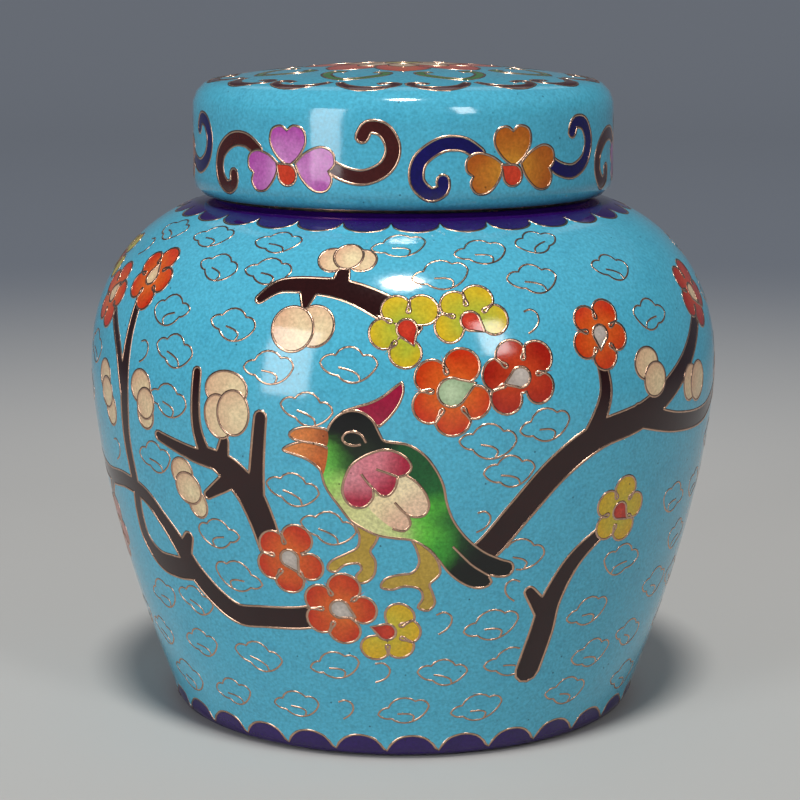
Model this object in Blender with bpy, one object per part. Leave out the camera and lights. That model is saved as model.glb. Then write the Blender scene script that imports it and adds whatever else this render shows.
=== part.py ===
"""A covered ginger jar, turned in copper sheet and enamelled: a bellied jar on a foot ring, and its cap.

Both pieces are bodies of revolution about the Z axis. Lengths are in metres, and the origin is the
centre of the foot on the surface that the jar stands on.
"""

import math

import bmesh
import bpy

MM = 0.001
SEGMENTS = 64

# The jar's outside
FOOT_RADIUS = 38.1 * MM
FOOT_ROUNDING = 2.6 * MM
FOOT_ROUNDING_HEIGHT = 3.4 * MM
BELLY_RADIUS = 53.9 * MM
BELLY_HEIGHT = 59.0 * MM
SHOULDER_HEIGHT = 88.0 * MM
LOWER_FULLNESS = 1.6
SHOULDER_FULLNESS = 2.2
SHOULDER_SHARE = 0.97

# The jar's wall, floor and foot ring
BODY_WALL = 2.4 * MM
FLOOR_THICKNESS = 2.4 * MM
FOOT_RING_WIDTH = 3.4 * MM
FOOT_RECESS = 2.2 * MM
RECESS_DRAFT = 1.2 * MM
FLOOR_ROUNDING = 9.0 * MM

# The neck, which stands inside the cap
NECK_WALL = 1.8 * MM
NECK_FILLET = 1.6 * MM
RIM_ROUNDING = 0.6 * MM
NECK_CLEARANCE = 0.8 * MM
SEAT_GAP = 0.3 * MM

# The cap
CAP_RADIUS = 35.9 * MM
CAP_WALL = 2.4 * MM
CAP_HEIGHT = 21.8 * MM
CAP_LIFT = 0.64 * MM
LIP_SETBACK = 1.6 * MM
LIP_HEIGHT = 3.2 * MM
CROWN_ROUNDING = 4.6 * MM
CROWN_RISE = 2.5 * MM
CROWN_THICKNESS = 2.4 * MM
CAP_INNER_ROUNDING = 1.0 * MM

# Faces along each stretch of a profile
LOWER_STEPS = 9
SHOULDER_STEPS = 9
ROUND_STEPS = 4
DOME_STEPS = 4

NECK_RADIUS = CAP_RADIUS - CAP_WALL - NECK_CLEARANCE
CAP_BOTTOM = SHOULDER_HEIGHT + CAP_LIFT
CAP_TOP = CAP_BOTTOM + CAP_HEIGHT
CROWN_EDGE_HEIGHT = CAP_TOP - CROWN_RISE
CAP_CEILING = CROWN_EDGE_HEIGHT - CROWN_THICKNESS
NECK_TOP = CAP_CEILING - SEAT_GAP
FOOT_INNER_RADIUS = FOOT_RADIUS - FOOT_RING_WIDTH
FLOOR_HEIGHT = FOOT_RECESS + FLOOR_THICKNESS

TURQUOISE = (0.055, 0.36, 0.50, 1.0)
LIGHT_TURQUOISE = (0.070, 0.40, 0.52, 1.0)


def clear_scene():
    for obj in list(bpy.data.objects):
        bpy.data.objects.remove(obj, do_unlink=True)


def arc(centre, radii, start, end, steps=ROUND_STEPS):
    """Points on an ellipse's arc about centre, from the angle start to the angle end, in degrees."""
    points = []
    for step in range(steps + 1):
        angle = math.radians(start + (end - start) * step / steps)
        points.append((centre[0] + radii[0] * math.cos(angle), centre[1] + radii[1] * math.sin(angle)))
    return points


def lower_radius(height):
    """The body's radius between the foot's rounding and the belly, as a power curve."""
    foot_edge = FOOT_RADIUS + FOOT_ROUNDING
    span = BELLY_HEIGHT - FOOT_ROUNDING_HEIGHT
    share = (BELLY_HEIGHT - height) / span
    return BELLY_RADIUS - (BELLY_RADIUS - foot_edge) * share**LOWER_FULLNESS


def shoulder_radius(height):
    """The body's radius between the belly and the neck, as part of a superellipse's quarter."""
    def inset(share):
        return 1.0 - (1.0 - share**SHOULDER_FULLNESS) ** (1.0 / SHOULDER_FULLNESS)

    share = SHOULDER_SHARE * (height - BELLY_HEIGHT) / (SHOULDER_HEIGHT - BELLY_HEIGHT)
    return BELLY_RADIUS - (BELLY_RADIUS - NECK_RADIUS) * inset(share) / inset(SHOULDER_SHARE)


def outer_wall():
    """The outside of the body from the top of the foot's rounding up to the neck."""
    points = []
    for step in range(1, LOWER_STEPS):
        height = FOOT_ROUNDING_HEIGHT + (BELLY_HEIGHT - FOOT_ROUNDING_HEIGHT) * step / LOWER_STEPS
        points.append((lower_radius(height), height))
    for step in range(SHOULDER_STEPS + 1):
        rise = math.sin(math.radians(90.0 * step / SHOULDER_STEPS))
        height = BELLY_HEIGHT + (SHOULDER_HEIGHT - BELLY_HEIGHT) * rise
        points.append((shoulder_radius(height), height))
    return points


def inset_wall(wall, thickness):
    """The same wall moved inwards by its thickness, square to the surface at each point."""
    points = []
    for index, (radius, height) in enumerate(wall):
        before = wall[max(index - 1, 0)]
        after = wall[min(index + 1, len(wall) - 1)]
        along = (after[0] - before[0], after[1] - before[1])
        length = math.hypot(*along)
        points.append((radius - thickness * along[1] / length, height + thickness * along[0] / length))
    return points


def jar_profile():
    """The jar's closed section, from the centre of the underside round to the centre of the floor."""
    foot = arc(
        (FOOT_RADIUS, FOOT_ROUNDING_HEIGHT), (FOOT_ROUNDING, FOOT_ROUNDING_HEIGHT), -90.0, 0.0
    )
    wall = outer_wall()
    fillet_start = SHOULDER_HEIGHT + NECK_FILLET
    neck = [(NECK_RADIUS, fillet_start)]
    rim_centre = NECK_TOP - RIM_ROUNDING
    inner_neck = NECK_RADIUS - NECK_WALL
    rim = arc((NECK_RADIUS - RIM_ROUNDING, rim_centre), (RIM_ROUNDING, RIM_ROUNDING), 0.0, 90.0, 2)
    rim += arc((inner_neck + RIM_ROUNDING, rim_centre), (RIM_ROUNDING, RIM_ROUNDING), 90.0, 180.0, 2)
    floor_start = FLOOR_HEIGHT + FLOOR_ROUNDING
    inside = [
        point
        for point in reversed(inset_wall(wall, BODY_WALL))
        if point[0] > inner_neck + RIM_ROUNDING and point[1] > floor_start
    ]
    wall_foot = lower_radius(floor_start) - BODY_WALL
    floor = arc(
        (wall_foot - FLOOR_ROUNDING, floor_start), (FLOOR_ROUNDING, FLOOR_ROUNDING), 0.0, -90.0
    )
    neck_foot = inside[0][1] + NECK_FILLET
    return (
        [(0.0, FOOT_RECESS), (FOOT_INNER_RADIUS - RECESS_DRAFT, FOOT_RECESS), (FOOT_INNER_RADIUS, 0.0)]
        + foot
        + wall
        + neck
        + rim
        + [(inner_neck, neck_foot)]
        + inside
        + floor
        + [(0.0, FLOOR_HEIGHT)]
    )


def cap_profile():
    """The cap's closed section, from the centre of its ceiling round to the top of its dome."""
    inner = CAP_RADIUS - CAP_WALL
    inner_corner = arc(
        (inner - CAP_INNER_ROUNDING, CAP_CEILING - CAP_INNER_ROUNDING),
        (CAP_INNER_ROUNDING, CAP_INNER_ROUNDING),
        90.0,
        0.0,
        2,
    )
    lip = arc(
        (CAP_RADIUS - LIP_SETBACK, CAP_BOTTOM + LIP_HEIGHT), (LIP_SETBACK, LIP_HEIGHT), -90.0, 0.0
    )
    flat_radius = CAP_RADIUS - CROWN_ROUNDING
    crown = arc(
        (flat_radius, CROWN_EDGE_HEIGHT - CROWN_ROUNDING), (CROWN_ROUNDING, CROWN_ROUNDING), 0.0, 90.0
    )
    dome = []
    for step in range(1, DOME_STEPS + 1):
        share = 1.0 - step / DOME_STEPS
        dome.append((flat_radius * share, CROWN_EDGE_HEIGHT + CROWN_RISE * (1.0 - share**2)))
    return [(0.0, CAP_CEILING)] + inner_corner + [(inner, CAP_BOTTOM)] + lip + crown + dome


def turned(name, profile):
    """A closed solid made by turning a section that starts and ends on the Z axis."""
    mesh = bpy.data.meshes.new(name)
    work = bmesh.new()
    points = [work.verts.new((radius, 0.0, height)) for radius, height in profile]
    edges = [work.edges.new(pair) for pair in zip(points, points[1:])]
    bmesh.ops.spin(
        work,
        geom=points + edges,
        axis=(0.0, 0.0, 1.0),
        cent=(0.0, 0.0, 0.0),
        angle=2.0 * math.pi,
        steps=SEGMENTS,
        use_merge=True,
    )
    bmesh.ops.remove_doubles(work, verts=work.verts, dist=0.001 * MM)
    bmesh.ops.recalc_face_normals(work, faces=work.faces)
    work.to_mesh(mesh)
    work.free()
    mesh.shade_smooth()
    mesh.set_sharp_from_angle(angle=math.radians(40.0))
    obj = bpy.data.objects.new(name, mesh)
    bpy.context.scene.collection.objects.link(obj)
    return obj


def enamel(name, colour, roughness):
    material = bpy.data.materials.new(name)
    material.use_nodes = True
    shader = material.node_tree.nodes["Principled BSDF"]
    shader.inputs["Base Color"].default_value = colour
    shader.inputs["Roughness"].default_value = roughness
    shader.inputs["Metallic"].default_value = 0.0
    material.diffuse_color = colour
    return material


def make_jar():
    jar = turned("jar_body", jar_profile())
    jar.data.materials.append(enamel("jar_enamel", TURQUOISE, 0.15))
    return jar


def make_cap():
    cap = turned("lid", cap_profile())
    cap.data.materials.append(enamel("cap_enamel", LIGHT_TURQUOISE, 0.15))
    return cap


def main():
    clear_scene()
    make_jar()
    make_cap()


main()
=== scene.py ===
"""Dresses a covered ginger jar in cloisonne: glass enamel in copper wire cells, ground flush and polished.

The picture is drawn flat, with x round the wall and y up it, in millimetres at the wall's girth. It is
cut into one sheet of cells, and Geometry Nodes lay the sheet on the turned wall and stand a wire on
every boundary between two cells.
"""

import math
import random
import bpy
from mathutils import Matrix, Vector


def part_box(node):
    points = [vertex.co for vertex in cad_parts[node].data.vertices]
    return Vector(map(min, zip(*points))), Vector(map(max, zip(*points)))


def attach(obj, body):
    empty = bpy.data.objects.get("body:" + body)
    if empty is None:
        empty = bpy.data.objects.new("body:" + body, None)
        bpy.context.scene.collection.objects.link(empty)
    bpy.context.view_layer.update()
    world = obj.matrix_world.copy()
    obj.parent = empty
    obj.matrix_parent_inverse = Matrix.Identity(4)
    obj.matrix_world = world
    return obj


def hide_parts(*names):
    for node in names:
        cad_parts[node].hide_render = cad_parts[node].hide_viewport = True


bl_info = {
    "name": "Cloisonne Ginger Jar",
    "version": (1, 0, 0),
    "blender": (4, 5, 0),
    "location": "3D View > Sidebar > Ginger Jar",
    "description": "Dresses a covered ginger jar in wire-inlaid enamel",
    "category": "Object",
}

import bpy
from mathutils import Vector, geometry, kdtree

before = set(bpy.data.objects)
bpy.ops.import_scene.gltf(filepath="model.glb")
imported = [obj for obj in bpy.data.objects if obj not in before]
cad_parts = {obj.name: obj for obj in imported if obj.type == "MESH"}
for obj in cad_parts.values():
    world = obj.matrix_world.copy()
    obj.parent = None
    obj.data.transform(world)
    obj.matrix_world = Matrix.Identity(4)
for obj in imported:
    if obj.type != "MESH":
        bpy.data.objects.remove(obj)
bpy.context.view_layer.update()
JAR_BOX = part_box("jar_body")
LID_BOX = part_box("lid")

MM = 0.001
BELLY_RADIUS = JAR_BOX[1][0] / MM
NECK_TOP = JAR_BOX[1][2] / MM
LID_RADIUS = LID_BOX[1][0] / MM
LID_BOTTOM = LID_BOX[0][2] / MM
LID_TOP = LID_BOX[1][2] / MM

# The turned sections, in mm, as the solids have them
FOOT_RADIUS = 38.1
FOOT_ROUNDING = 2.6
FOOT_ROUNDING_HEIGHT = 3.4
FOOT_RING_WIDTH = 3.4
FOOT_RECESS = 2.2
RECESS_DRAFT = 1.2
BELLY_HEIGHT = 59.0
SHOULDER_HEIGHT = 88.0
LOWER_FULLNESS = 1.6
SHOULDER_FULLNESS = 2.2
SHOULDER_SHARE = 0.97
BODY_WALL = 2.4
FLOOR_THICKNESS = 2.4
FLOOR_ROUNDING = 9.0
NECK_WALL = 1.8
NECK_CLEARANCE = 0.8
RIM_ROUNDING = 0.6
LID_WALL = 2.4
LIP_SETBACK = 1.6
LIP_HEIGHT = 3.2
CROWN_ROUNDING = 4.6
CROWN_RISE = 2.5
CROWN_THICKNESS = 2.4
CEILING_ROUNDING = 1.0
NECK_RADIUS = LID_RADIUS - LID_WALL - NECK_CLEARANCE

# Steps along each curve of the sections
WALL_STEPS = 90
INSIDE_STEPS = (20, 24)
FOOT_STEPS = 12
RIM_STEPS = 4
FLOOR_STEPS = 8
LIP_STEPS = 10
CROWN_STEPS = 16
DOME_STEPS = 40

# The flat drawing's fineness, in mm, and its columns round the wall
OUTLINE_STEP = 0.6
FINE_STEP = 0.5
SCROLL_STEP = 1.0
ROW_STEP = 1.8
COLUMNS = 180
SEED_CLEARANCE = 0.45
SAME_POINT = 1e-6
CUT_TOLERANCE = 1e-5
SEAM_MARGIN = 1e-3
SEAM_DISTANCE = 0.002

# Wire, grain and pinholes, in mm
WIRE_WIDTH = 0.4
WIRE_RISE = 0.03
WIRE_DEPTH = 0.12
CLOUD_WIRE_SHARE = 0.78
GRAIN = 0.5
PIT_SPACING = 3.5

# Enamels: name, light colour, deep colour and what it fills
ENAMELS = {
    "turquoise": ("50B0CB", "3A93B4", "ground of jar and lid"),
    "indigo": ("2E0C60", "1A0644", "scalloped borders"),
    "bark": ("2C0908", "1A0404", "plum branches"),
    "russet": ("4C1A17", "32100C", "scrolls of the lid"),
    "navy": ("16105C", "0A083E", "scrolls of the lid"),
    "vermilion": ("E0702A", "C63212", "plum petals"),
    "scarlet": ("CE4A24", "A01C12", "plum petals"),
    "lime": ("94B43C", "D4B020", "plum petals"),
    "yolk": ("C8BC3A", "DCAE1E", "plum petals"),
    "drop_red": ("DC4628", "AE2418", "flower hearts"),
    "celadon": ("BCCFA8", "98B088", "flower hearts"),
    "pearl": ("CFC4BA", "AFA298", "flower hearts"),
    "cream": ("E9D5A8", "DAAD8A", "buds"),
    "orchid": ("DFA0D4", "B650A8", "petals of the lid"),
    "amber": ("D8942E", "B45A16", "petals of the lid"),
    "mustard": ("C2A244", "A4842E", "legs"),
    "crimson": ("A41C3E", "801230", "crest"),
    "leaf": ("4E8A3A", "2C5A2A", "vine of the lid"),
    "painted": ("FFFFFF", "FFFFFF", "cells whose colour changes across them"),
    "lining": ("58B4CC", "469EB8", "plain inside and underside"),
}
COPPER_HEX = "F4C6A8"
WHITE = (1.0, 1.0, 1.0, 1.0)
PLAIN_SHADE = 0.3

# Scalloped borders: heights in mm and turns in degrees
SCALLOPS = 30
SCALLOP_STEPS = 16
UPPER_TIP = 94.4
UPPER_CUSP = 97.2
UPPER_PHASE = 3.0
LOWER_TIP = 5.6
LOWER_CUSP = 1.5
LOWER_PHASE = 2.0

# Plum trees: branches of degrees round, mm up and width. A tree's first branch carries its others
BRANCHES = (
    (
        (
            (-26.6, 79.9, 1.5), (-22.8, 82.4, 2.4), (-15.3, 82.6, 3.0), (-9.0, 81.6, 3.6), (-2.5, 78.8, 4.2),
            (1.0, 76.5, 4.0),
        ),
        ((-11.8, 82.6, 3.0), (-11.5, 85.8, 1.8)),
        ((-17.4, 82.0, 3.2), (-17.6, 78.6, 0.7)),
    ),
    (
        ((-24.0, 39.5, 4.2), (-25.4, 44.5, 4.5), (-27.5, 49.0, 4.8), (-31.0, 52.3, 4.4), (-35.0, 54.2, 2.8)),
        ((-35.6, 54.0, 2.4), (-37.2, 59.0, 1.8), (-37.0, 67.4, 1.6)),
        ((-33.0, 53.4, 3.0), (-38.5, 54.0, 2.4), (-47.0, 56.0, 1.6)),
        ((-32.5, 53.0, 3.0), (-31.4, 57.0, 1.6)),
        ((-31.0, 50.6, 3.0), (-36.2, 47.5, 1.4)),
        ((-26.3, 47.0, 3.4), (-25.4, 53.0, 2.5), (-24.2, 61.4, 2.1)),
    ),
    (
        (
            (-14.0, 28.9, 3.9), (-20.0, 27.6, 3.9), (-28.0, 27.0, 3.8), (-33.7, 26.8, 3.8), (-38.5, 29.2, 3.8),
            (-43.0, 33.2, 3.7), (-46.0, 37.4, 3.4), (-49.6, 41.2, 2.8), (-54.5, 44.8, 2.8), (-62.0, 46.0, 2.8),
            (-72.0, 45.4, 3.0), (-84.0, 47.0, 3.0), (-96.0, 51.0, 2.4), (-103.0, 56.0, 1.6),
        ),
        ((-45.0, 36.0, 3.4), (-42.8, 39.2, 2.0)),
        ((-70.0, 45.4, 2.6), (-73.5, 42.6, 2.0), (-75.4, 39.6, 1.5)),
        (
            (-43.0, 33.4, 3.6), (-48.0, 33.0, 4.0), (-53.5, 33.4, 3.6), (-57.6, 36.4, 2.8), (-58.2, 41.0, 2.4),
            (-57.4, 46.0, 2.3), (-57.9, 54.0, 2.3), (-57.2, 62.0, 2.6), (-56.8, 71.5, 2.0), (-57.0, 78.0, 1.8),
        ),
        ((-57.4, 61.5, 2.4), (-60.2, 68.4, 1.8), (-65.5, 74.0, 1.5)),
    ),
    (
        (
            (11.8, 38.4, 3.6), (15.4, 40.8, 4.2), (20.5, 46.5, 4.4), (27.0, 53.0, 4.6), (35.0, 57.5, 4.6),
            (46.0, 60.0, 4.4), (58.0, 66.0, 3.6), (68.0, 74.0, 2.6),
        ),
        ((44.0, 59.8, 4.0), (56.0, 57.0, 3.2), (70.0, 56.5, 2.8), (82.0, 60.0, 2.0)),
        ((33.0, 57.0, 3.4), (36.0, 64.0, 2.4), (35.0, 70.5, 1.6)),
    ),
    (
        ((26.5, 17.0, 4.4), (28.0, 24.0, 4.4), (29.0, 30.0, 3.8), (33.0, 37.0, 3.0), (40.0, 42.0, 2.0)),
        ((28.5, 27.0, 3.4), (24.0, 32.0, 1.8)),
    ),
    (
        (
            (108.0, 14.0, 4.6), (111.0, 24.0, 4.6), (116.0, 33.0, 4.2), (124.0, 40.0, 3.8), (134.0, 45.0, 3.4),
            (146.0, 51.0, 2.8), (154.0, 60.0, 2.0),
        ),
        ((115.0, 31.0, 3.6), (110.0, 40.0, 2.8), (107.0, 50.0, 2.4), (110.0, 61.0, 1.8)),
        ((130.0, 43.0, 3.2), (142.0, 41.0, 2.8), (156.0, 37.0, 2.4), (168.0, 36.0, 1.8)),
    ),
    (
        (
            (-128.0, 12.0, 4.6), (-131.0, 22.0, 4.4), (-137.0, 31.0, 4.0), (-146.0, 38.0, 3.4),
            (-156.0, 46.0, 2.6), (-160.0, 55.0, 1.8),
        ),
        ((-135.0, 29.0, 3.6), (-127.0, 38.0, 3.0), (-122.0, 48.0, 2.4), (-121.0, 60.0, 1.8)),
    ),
    (((168.0, 82.5, 1.5), (173.0, 85.2, 2.4), (182.0, 85.6, 3.0), (192.0, 83.0, 3.0), (198.0, 79.5, 2.4)),),
)
END_ANGLES = (54.0, 18.0, -18.0, -54.0)

# Plum flowers: degrees round and mm up, size in mm, where the petals point, enamels and the heart's tail
FLOWERS = (
    ((0.6, 75.8), 5.9, (52, 118, 192, 266), "lime", "drop_red", 292),
    ((11.6, 76.9), 5.8, (68, 130, 196, 2), "lime", "drop_red", 320),
    ((19.6, 67.9), 6.2, (45, 112, 172, 233, 330), "scarlet", "pearl", 200),
    ((7.9, 66.0), 6.6, (68, 142, 211, 272, 336), "vermilion", "celadon", 20),
    ((-20.7, 38.2), 5.9, (66, 140, 204, 264, 340), "vermilion", "pearl", 300),
    ((-11.9, 29.8), 6.1, (77, 152, 213, 278, 0), "vermilion", "pearl", 330),
    ((-3.2, 25.9), 5.5, (54, 2, 308, 238), "yolk", "drop_red", 160),
    ((-56.4, 81.4), 5.8, (70, 140, 212, 284, 356), "vermilion", "cream", 90),
    ((-70.5, 76.6), 5.8, (80, 152, 224, 296, 8), "vermilion", "cream", 60),
    ((-82.5, 82.5), 5.4, (60, 130, 200, 330), "lime", "drop_red", 270),
    ((-76.0, 35.5), 5.8, (60, 132, 204, 276, 348), "scarlet", "pearl", 300),
    ((70.0, 77.0), 6.0, (60, 132, 204, 276, 348), "scarlet", "cream", 300),
    ((85.0, 62.5), 6.0, (40, 112, 184, 256, 328), "vermilion", "celadon", 240),
    ((42.0, 44.0), 5.6, (80, 152, 224, 296, 8), "yolk", "drop_red", 320),
    ((36.0, 73.5), 5.6, (60, 132, 204, 276, 348), "vermilion", "pearl", 260),
    ((156.0, 64.0), 6.0, (60, 132, 204, 276, 348), "vermilion", "celadon", 300),
    ((146.0, 70.8), 5.6, (60, 120, 190, 330), "lime", "drop_red", 260),
    ((111.0, 65.5), 6.0, (80, 152, 224, 296, 8), "scarlet", "pearl", 300),
    ((-163.0, 60.0), 6.0, (60, 132, 204, 276, 348), "vermilion", "pearl", 240),
    ((-120.0, 64.5), 6.0, (60, 132, 204, 276, 348), "scarlet", "cream", 300),
    ((-106.0, 60.0), 5.6, (60, 132, 204, 276, 348), "yolk", "drop_red", 200),
    ((174.0, 35.0), 5.8, (60, 132, 204, 276, 348), "scarlet", "cream", 120),
    ((-160.0, 76.5), 5.8, (60, 132, 204, 276, 348), "lime", "drop_red", 250),
)
# Forms of a flower as shares of its size, and angles in degrees
PETAL_REACH = (1.06, 0.98, 1.0, 1.03, 0.97)
PETAL_START = 0.10
PETAL_MIDDLE = 0.62
PETAL_RADII = (0.38, 0.41)
PETAL_ARC = 130.0
ROUND_STEPS = 14
FULL_DISC = 0.40
OPEN_DISC = 0.24
FOLD_REACH = (0.90, 0.43)
FOLD_SHAPE = ((0.4, 0.12), (0.18, 0.32), (0.04, 0.26))
WIDEST_FOLD = 82.0
HEART_SHARES = {"celadon": 0.34, "pearl": 0.26, "drop_red": 0.27, "cream": 0.26}
HEART_TAIL = 0.8
HEART_SHADE = 1.2
HEART_GAP = 42.0

# Buds: degrees round and mm up, then each petal as across, up, half width, half height and turn
BUDS = (
    ((-11.2, 88.1), ((-2.3, -0.4, 2.3, 2.4, 0), (2.4, -0.4, 2.2, 2.2, 0), (0.1, 0.4, 2.3, 2.6, 0))),
    ((-17.6, 75.4), ((2.0, 0.6, 3.1, 3.3, 10), (-1.5, 0.0, 3.4, 3.6, 10))),
    ((-30.6, 62.5), ((-0.2, 2.7, 3.9, 2.9, 0), (-1.6, -1.7, 2.7, 3.5, 10), (1.1, -0.9, 2.9, 3.6, -8))),
    ((-40.7, 48.2), ((-1.0, 2.4, 2.4, 2.4, 30), (1.7, -2.6, 1.9, 2.4, 10), (0.0, -0.2, 2.8, 2.6, -30))),
    ((-50.8, 61.4), ((-0.7, 2.0, 2.8, 2.8, 0), (0.4, -2.4, 2.2, 2.4, 0), (0.6, -0.6, 2.3, 2.6, -20))),
    ((-65.0, 60.6), ((-1.0, 2.6, 2.6, 2.8, 0), (1.2, -2.6, 2.2, 2.8, 0), (-0.2, 0.0, 2.5, 2.6, -20))),
    ((62.5, 62.5), ((-1.8, 0.4, 2.6, 3.0, 0), (1.5, 0.2, 3.0, 3.3, 0))),
    ((47.5, 66.0), ((-1.2, 1.8, 2.9, 2.6, 0), (0.8, -1.0, 2.8, 2.8, -20))),
    ((130.0, 50.0), ((-1.8, 0.6, 2.6, 3.0, 0), (1.4, 0.0, 2.9, 3.2, 0))),
    ((102.5, 48.5), ((-0.8, 1.8, 2.5, 2.5, 0), (0.4, -1.2, 2.6, 2.8, -20))),
    ((-147.5, 43.0), ((-1.6, 0.8, 2.6, 2.8, 0), (1.4, 0.2, 2.7, 3.2, 0))),
    ((-118.0, 48.0), ((-0.8, 1.8, 2.5, 2.5, 0), (0.6, -1.2, 2.6, 2.8, -20))),
    ((176.0, 81.0), ((-1.8, 0.4, 2.8, 3.0, 0), (1.5, 0.2, 3.0, 3.2, 0))),
)
BUD_LIGHT = (0.4, -0.3)
BUD_SHADE = 1.5

# The bird: its place on the wall, then mm from there
BIRD_PLACE = (-3.0, 50.6)
BODY = (
    (-8.9, 9.4), (-8.1, 10.9), (-6.7, 12.1), (-4.9, 12.6), (-3.2, 12.2), (-1.8, 11.0), (-0.9, 9.2),
    (-0.2, 8.0), (1.3, 7.7), (3.6, 7.3), (5.9, 5.8), (7.6, 3.6), (8.9, 0.8), (9.5, -2.4), (10.6, -5.4),
    (12.7, -8.4), (15.4, -10.8), (18.2, -12.3), (19.9, -13.0), (20.2, -14.3), (19.2, -15.3),
    (17.6, -15.3), (16.2, -15.0), (16.6, -16.2), (15.6, -17.0), (13.8, -17.0), (11.8, -16.0),
    (9.8, -14.2), (7.9, -11.5), (6.6, -9.9), (4.1, -8.4), (1.1, -8.0), (-1.7, -7.4), (-5.2, -5.4),
    (-7.2, -2.9), (-9.2, 0.0), (-9.9, 2.3), (-10.2, 4.2), (-9.6, 6.6),
)
UPPER_BEAK = (
    (-8.9, 9.3), (-10.5, 9.7), (-12.3, 9.8), (-14.4, 9.2), (-15.1, 8.3), (-13.9, 7.5), (-11.2, 7.2),
    (-9.1, 6.8),
)
LOWER_BEAK = (
    (-8.9, 6.6), (-10.8, 7.1), (-12.6, 7.4), (-14.9, 6.8), (-16.2, 5.9), (-14.9, 5.4), (-12.3, 4.6),
    (-10.4, 3.3), (-9.6, 2.4),
)
CREST = (
    (-6.7, 12.2), (-4.3, 13.2), (-2.1, 13.9), (-0.1, 15.0), (1.5, 16.3), (2.6, 17.1), (2.6, 17.1),
    (2.8, 15.6), (2.0, 13.5), (0.6, 11.6), (-0.9, 10.2), (-0.9, 10.2), (-2.4, 10.8), (-4.6, 11.6),
)
WING = (
    (-6.2, -1.8), (-6.7, -0.2), (-6.3, 1.8), (-5.2, 4.0), (-3.0, 5.6), (-0.4, 6.5), (1.7, 6.2),
    (3.4, 5.1), (4.0, 3.8), (3.3, 2.6), (1.9, 2.2), (1.9, 2.2), (1.6, 0.6), (0.6, -0.8), (-0.7, -0.9),
    (-2.0, 0.4), (-2.0, 0.4), (-1.9, -1.2), (-3.2, -2.8), (-5.0, -2.9),
)
LOWER_FEATHER = (
    (-1.9, -1.2), (-2.6, -2.8), (-1.1, -4.6), (0.9, -6.2), (2.8, -6.8), (3.8, -5.6), (3.4, -4.0),
    (1.5, -1.2),
)
UPPER_FEATHER = (
    (1.2, 1.0), (2.6, 2.6), (4.9, 1.2), (6.3, -0.6), (6.7, -2.6), (5.9, -4.2), (4.2, -4.4), (2.4, -3.0),
    (0.6, -0.6),
)
NEAR_LEG = (
    (-4.6, -5.6), (-4.1, -7.8), (-4.5, -9.7), (-6.1, -10.8), (-8.7, -12.3), (-9.3, -13.7),
    (-8.1, -14.2), (-6.6, -12.9), (-4.4, -12.5), (-3.9, -13.5), (-4.8, -14.7), (-4.4, -15.9),
    (-3.1, -15.7), (-1.9, -14.3), (-1.7, -12.0), (-2.5, -10.3), (-1.7, -8.9), (-1.2, -6.6),
)
FAR_LEG = (
    (4.0, -8.0), (4.7, -9.9), (5.1, -12.2), (4.0, -14.0), (1.7, -14.4), (-0.3, -15.2), (-0.9, -16.6),
    (0.8, -17.0), (2.8, -16.4), (5.1, -16.9), (5.6, -18.6), (4.8, -20.2), (6.4, -20.8), (7.5, -19.5),
    (7.1, -17.5), (6.7, -16.1), (7.9, -14.9), (8.4, -13.6), (7.3, -10.8),
)
# Free wires: the split of the tail, the mouth, the eye, two lines on the wing and two on the feathers
BIRD_LINES = (
    ((10.4, -9.6), (11.8, -11.2), (13.6, -13.1), (16.2, -15.0)),
    ((-14.2, 7.6), (-12.6, 7.4), (-11.0, 7.2), (-9.6, 6.9), (-8.9, 6.5)),
    ((-2.9, 7.6), (-3.6, 8.8), (-4.8, 9.3), (-6.0, 9.1), (-6.6, 8.3), (-6.2, 7.5), (-5.1, 7.1), (-3.7, 7.3)),
    ((-3.7, 2.6), (-2.9, 1.4), (-2.0, 0.4)),
    ((-1.4, 3.4), (0.4, 2.8), (1.9, 2.2)),
    ((1.4, -2.0), (2.8, -3.6), (4.2, -4.4), (5.9, -4.2), (6.7, -2.6), (6.2, -0.6), (4.9, 1.2), (3.3, 2.4)),
    ((3.4, -4.2), (3.8, -5.6), (2.8, -6.8), (1.0, -6.4)),
)
# Tints that melt into each other: point, colour and reach
BODY_TINTS = (
    ((-4.8, 10.6), "040404", 3.6), ((-4.5, 8.0), "040404", 2.6), ((-1.5, 8.5), "06120A", 2.2),
    ((-8.6, 5.5), "5FB43C", 1.6), ((-9.4, 3.0), "6FC84E", 1.6), ((-7.0, 4.6), "2A5A22", 1.4),
    ((-8.4, 0.0), "A4CC66", 2.0), ((-6.0, -3.2), "D0D08A", 2.2), ((-2.5, -5.6), "DAD898", 2.4),
    ((2.0, -7.0), "CCD68A", 2.0), ((5.6, -6.6), "62C23C", 2.4), ((7.4, -3.5), "4FB034", 1.8),
    ((5.0, 4.6), "0F5226", 2.8), ((8.0, 0.4), "14602A", 1.8), ((9.0, -5.0), "1A5A26", 1.6),
    ((9.0, -9.4), "3A9A30", 1.8), ((12.0, -9.5), "12301A", 1.8), ((14.5, -12.5), "040504", 2.6),
    ((18.5, -14.0), "040404", 3.0), ((13.0, -15.5), "060C06", 2.4), ((-3.4, 6.8), "2A3A20", 1.4),
)
WING_TINTS = (
    ((-4.3, -1.6), "A81838", 1.5), ((0.2, 0.5), "A81838", 1.4), ((2.2, 4.2), "A81838", 1.6),
    ((-4.6, 2.0), "D88A92", 2.0), ((-1.6, 4.4), "D87E88", 2.2), ((-2.2, 1.8), "C85068", 1.2),
)
FEATHER_TINTS = (
    ((-1.0, -2.4), "EFD9A8", 2.4), ((1.6, -4.8), "E4B79A", 1.8), ((3.4, 0.8), "F0DCB0", 2.2),
    ((5.0, -2.2), "E8C4A4", 2.0),
)
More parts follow.
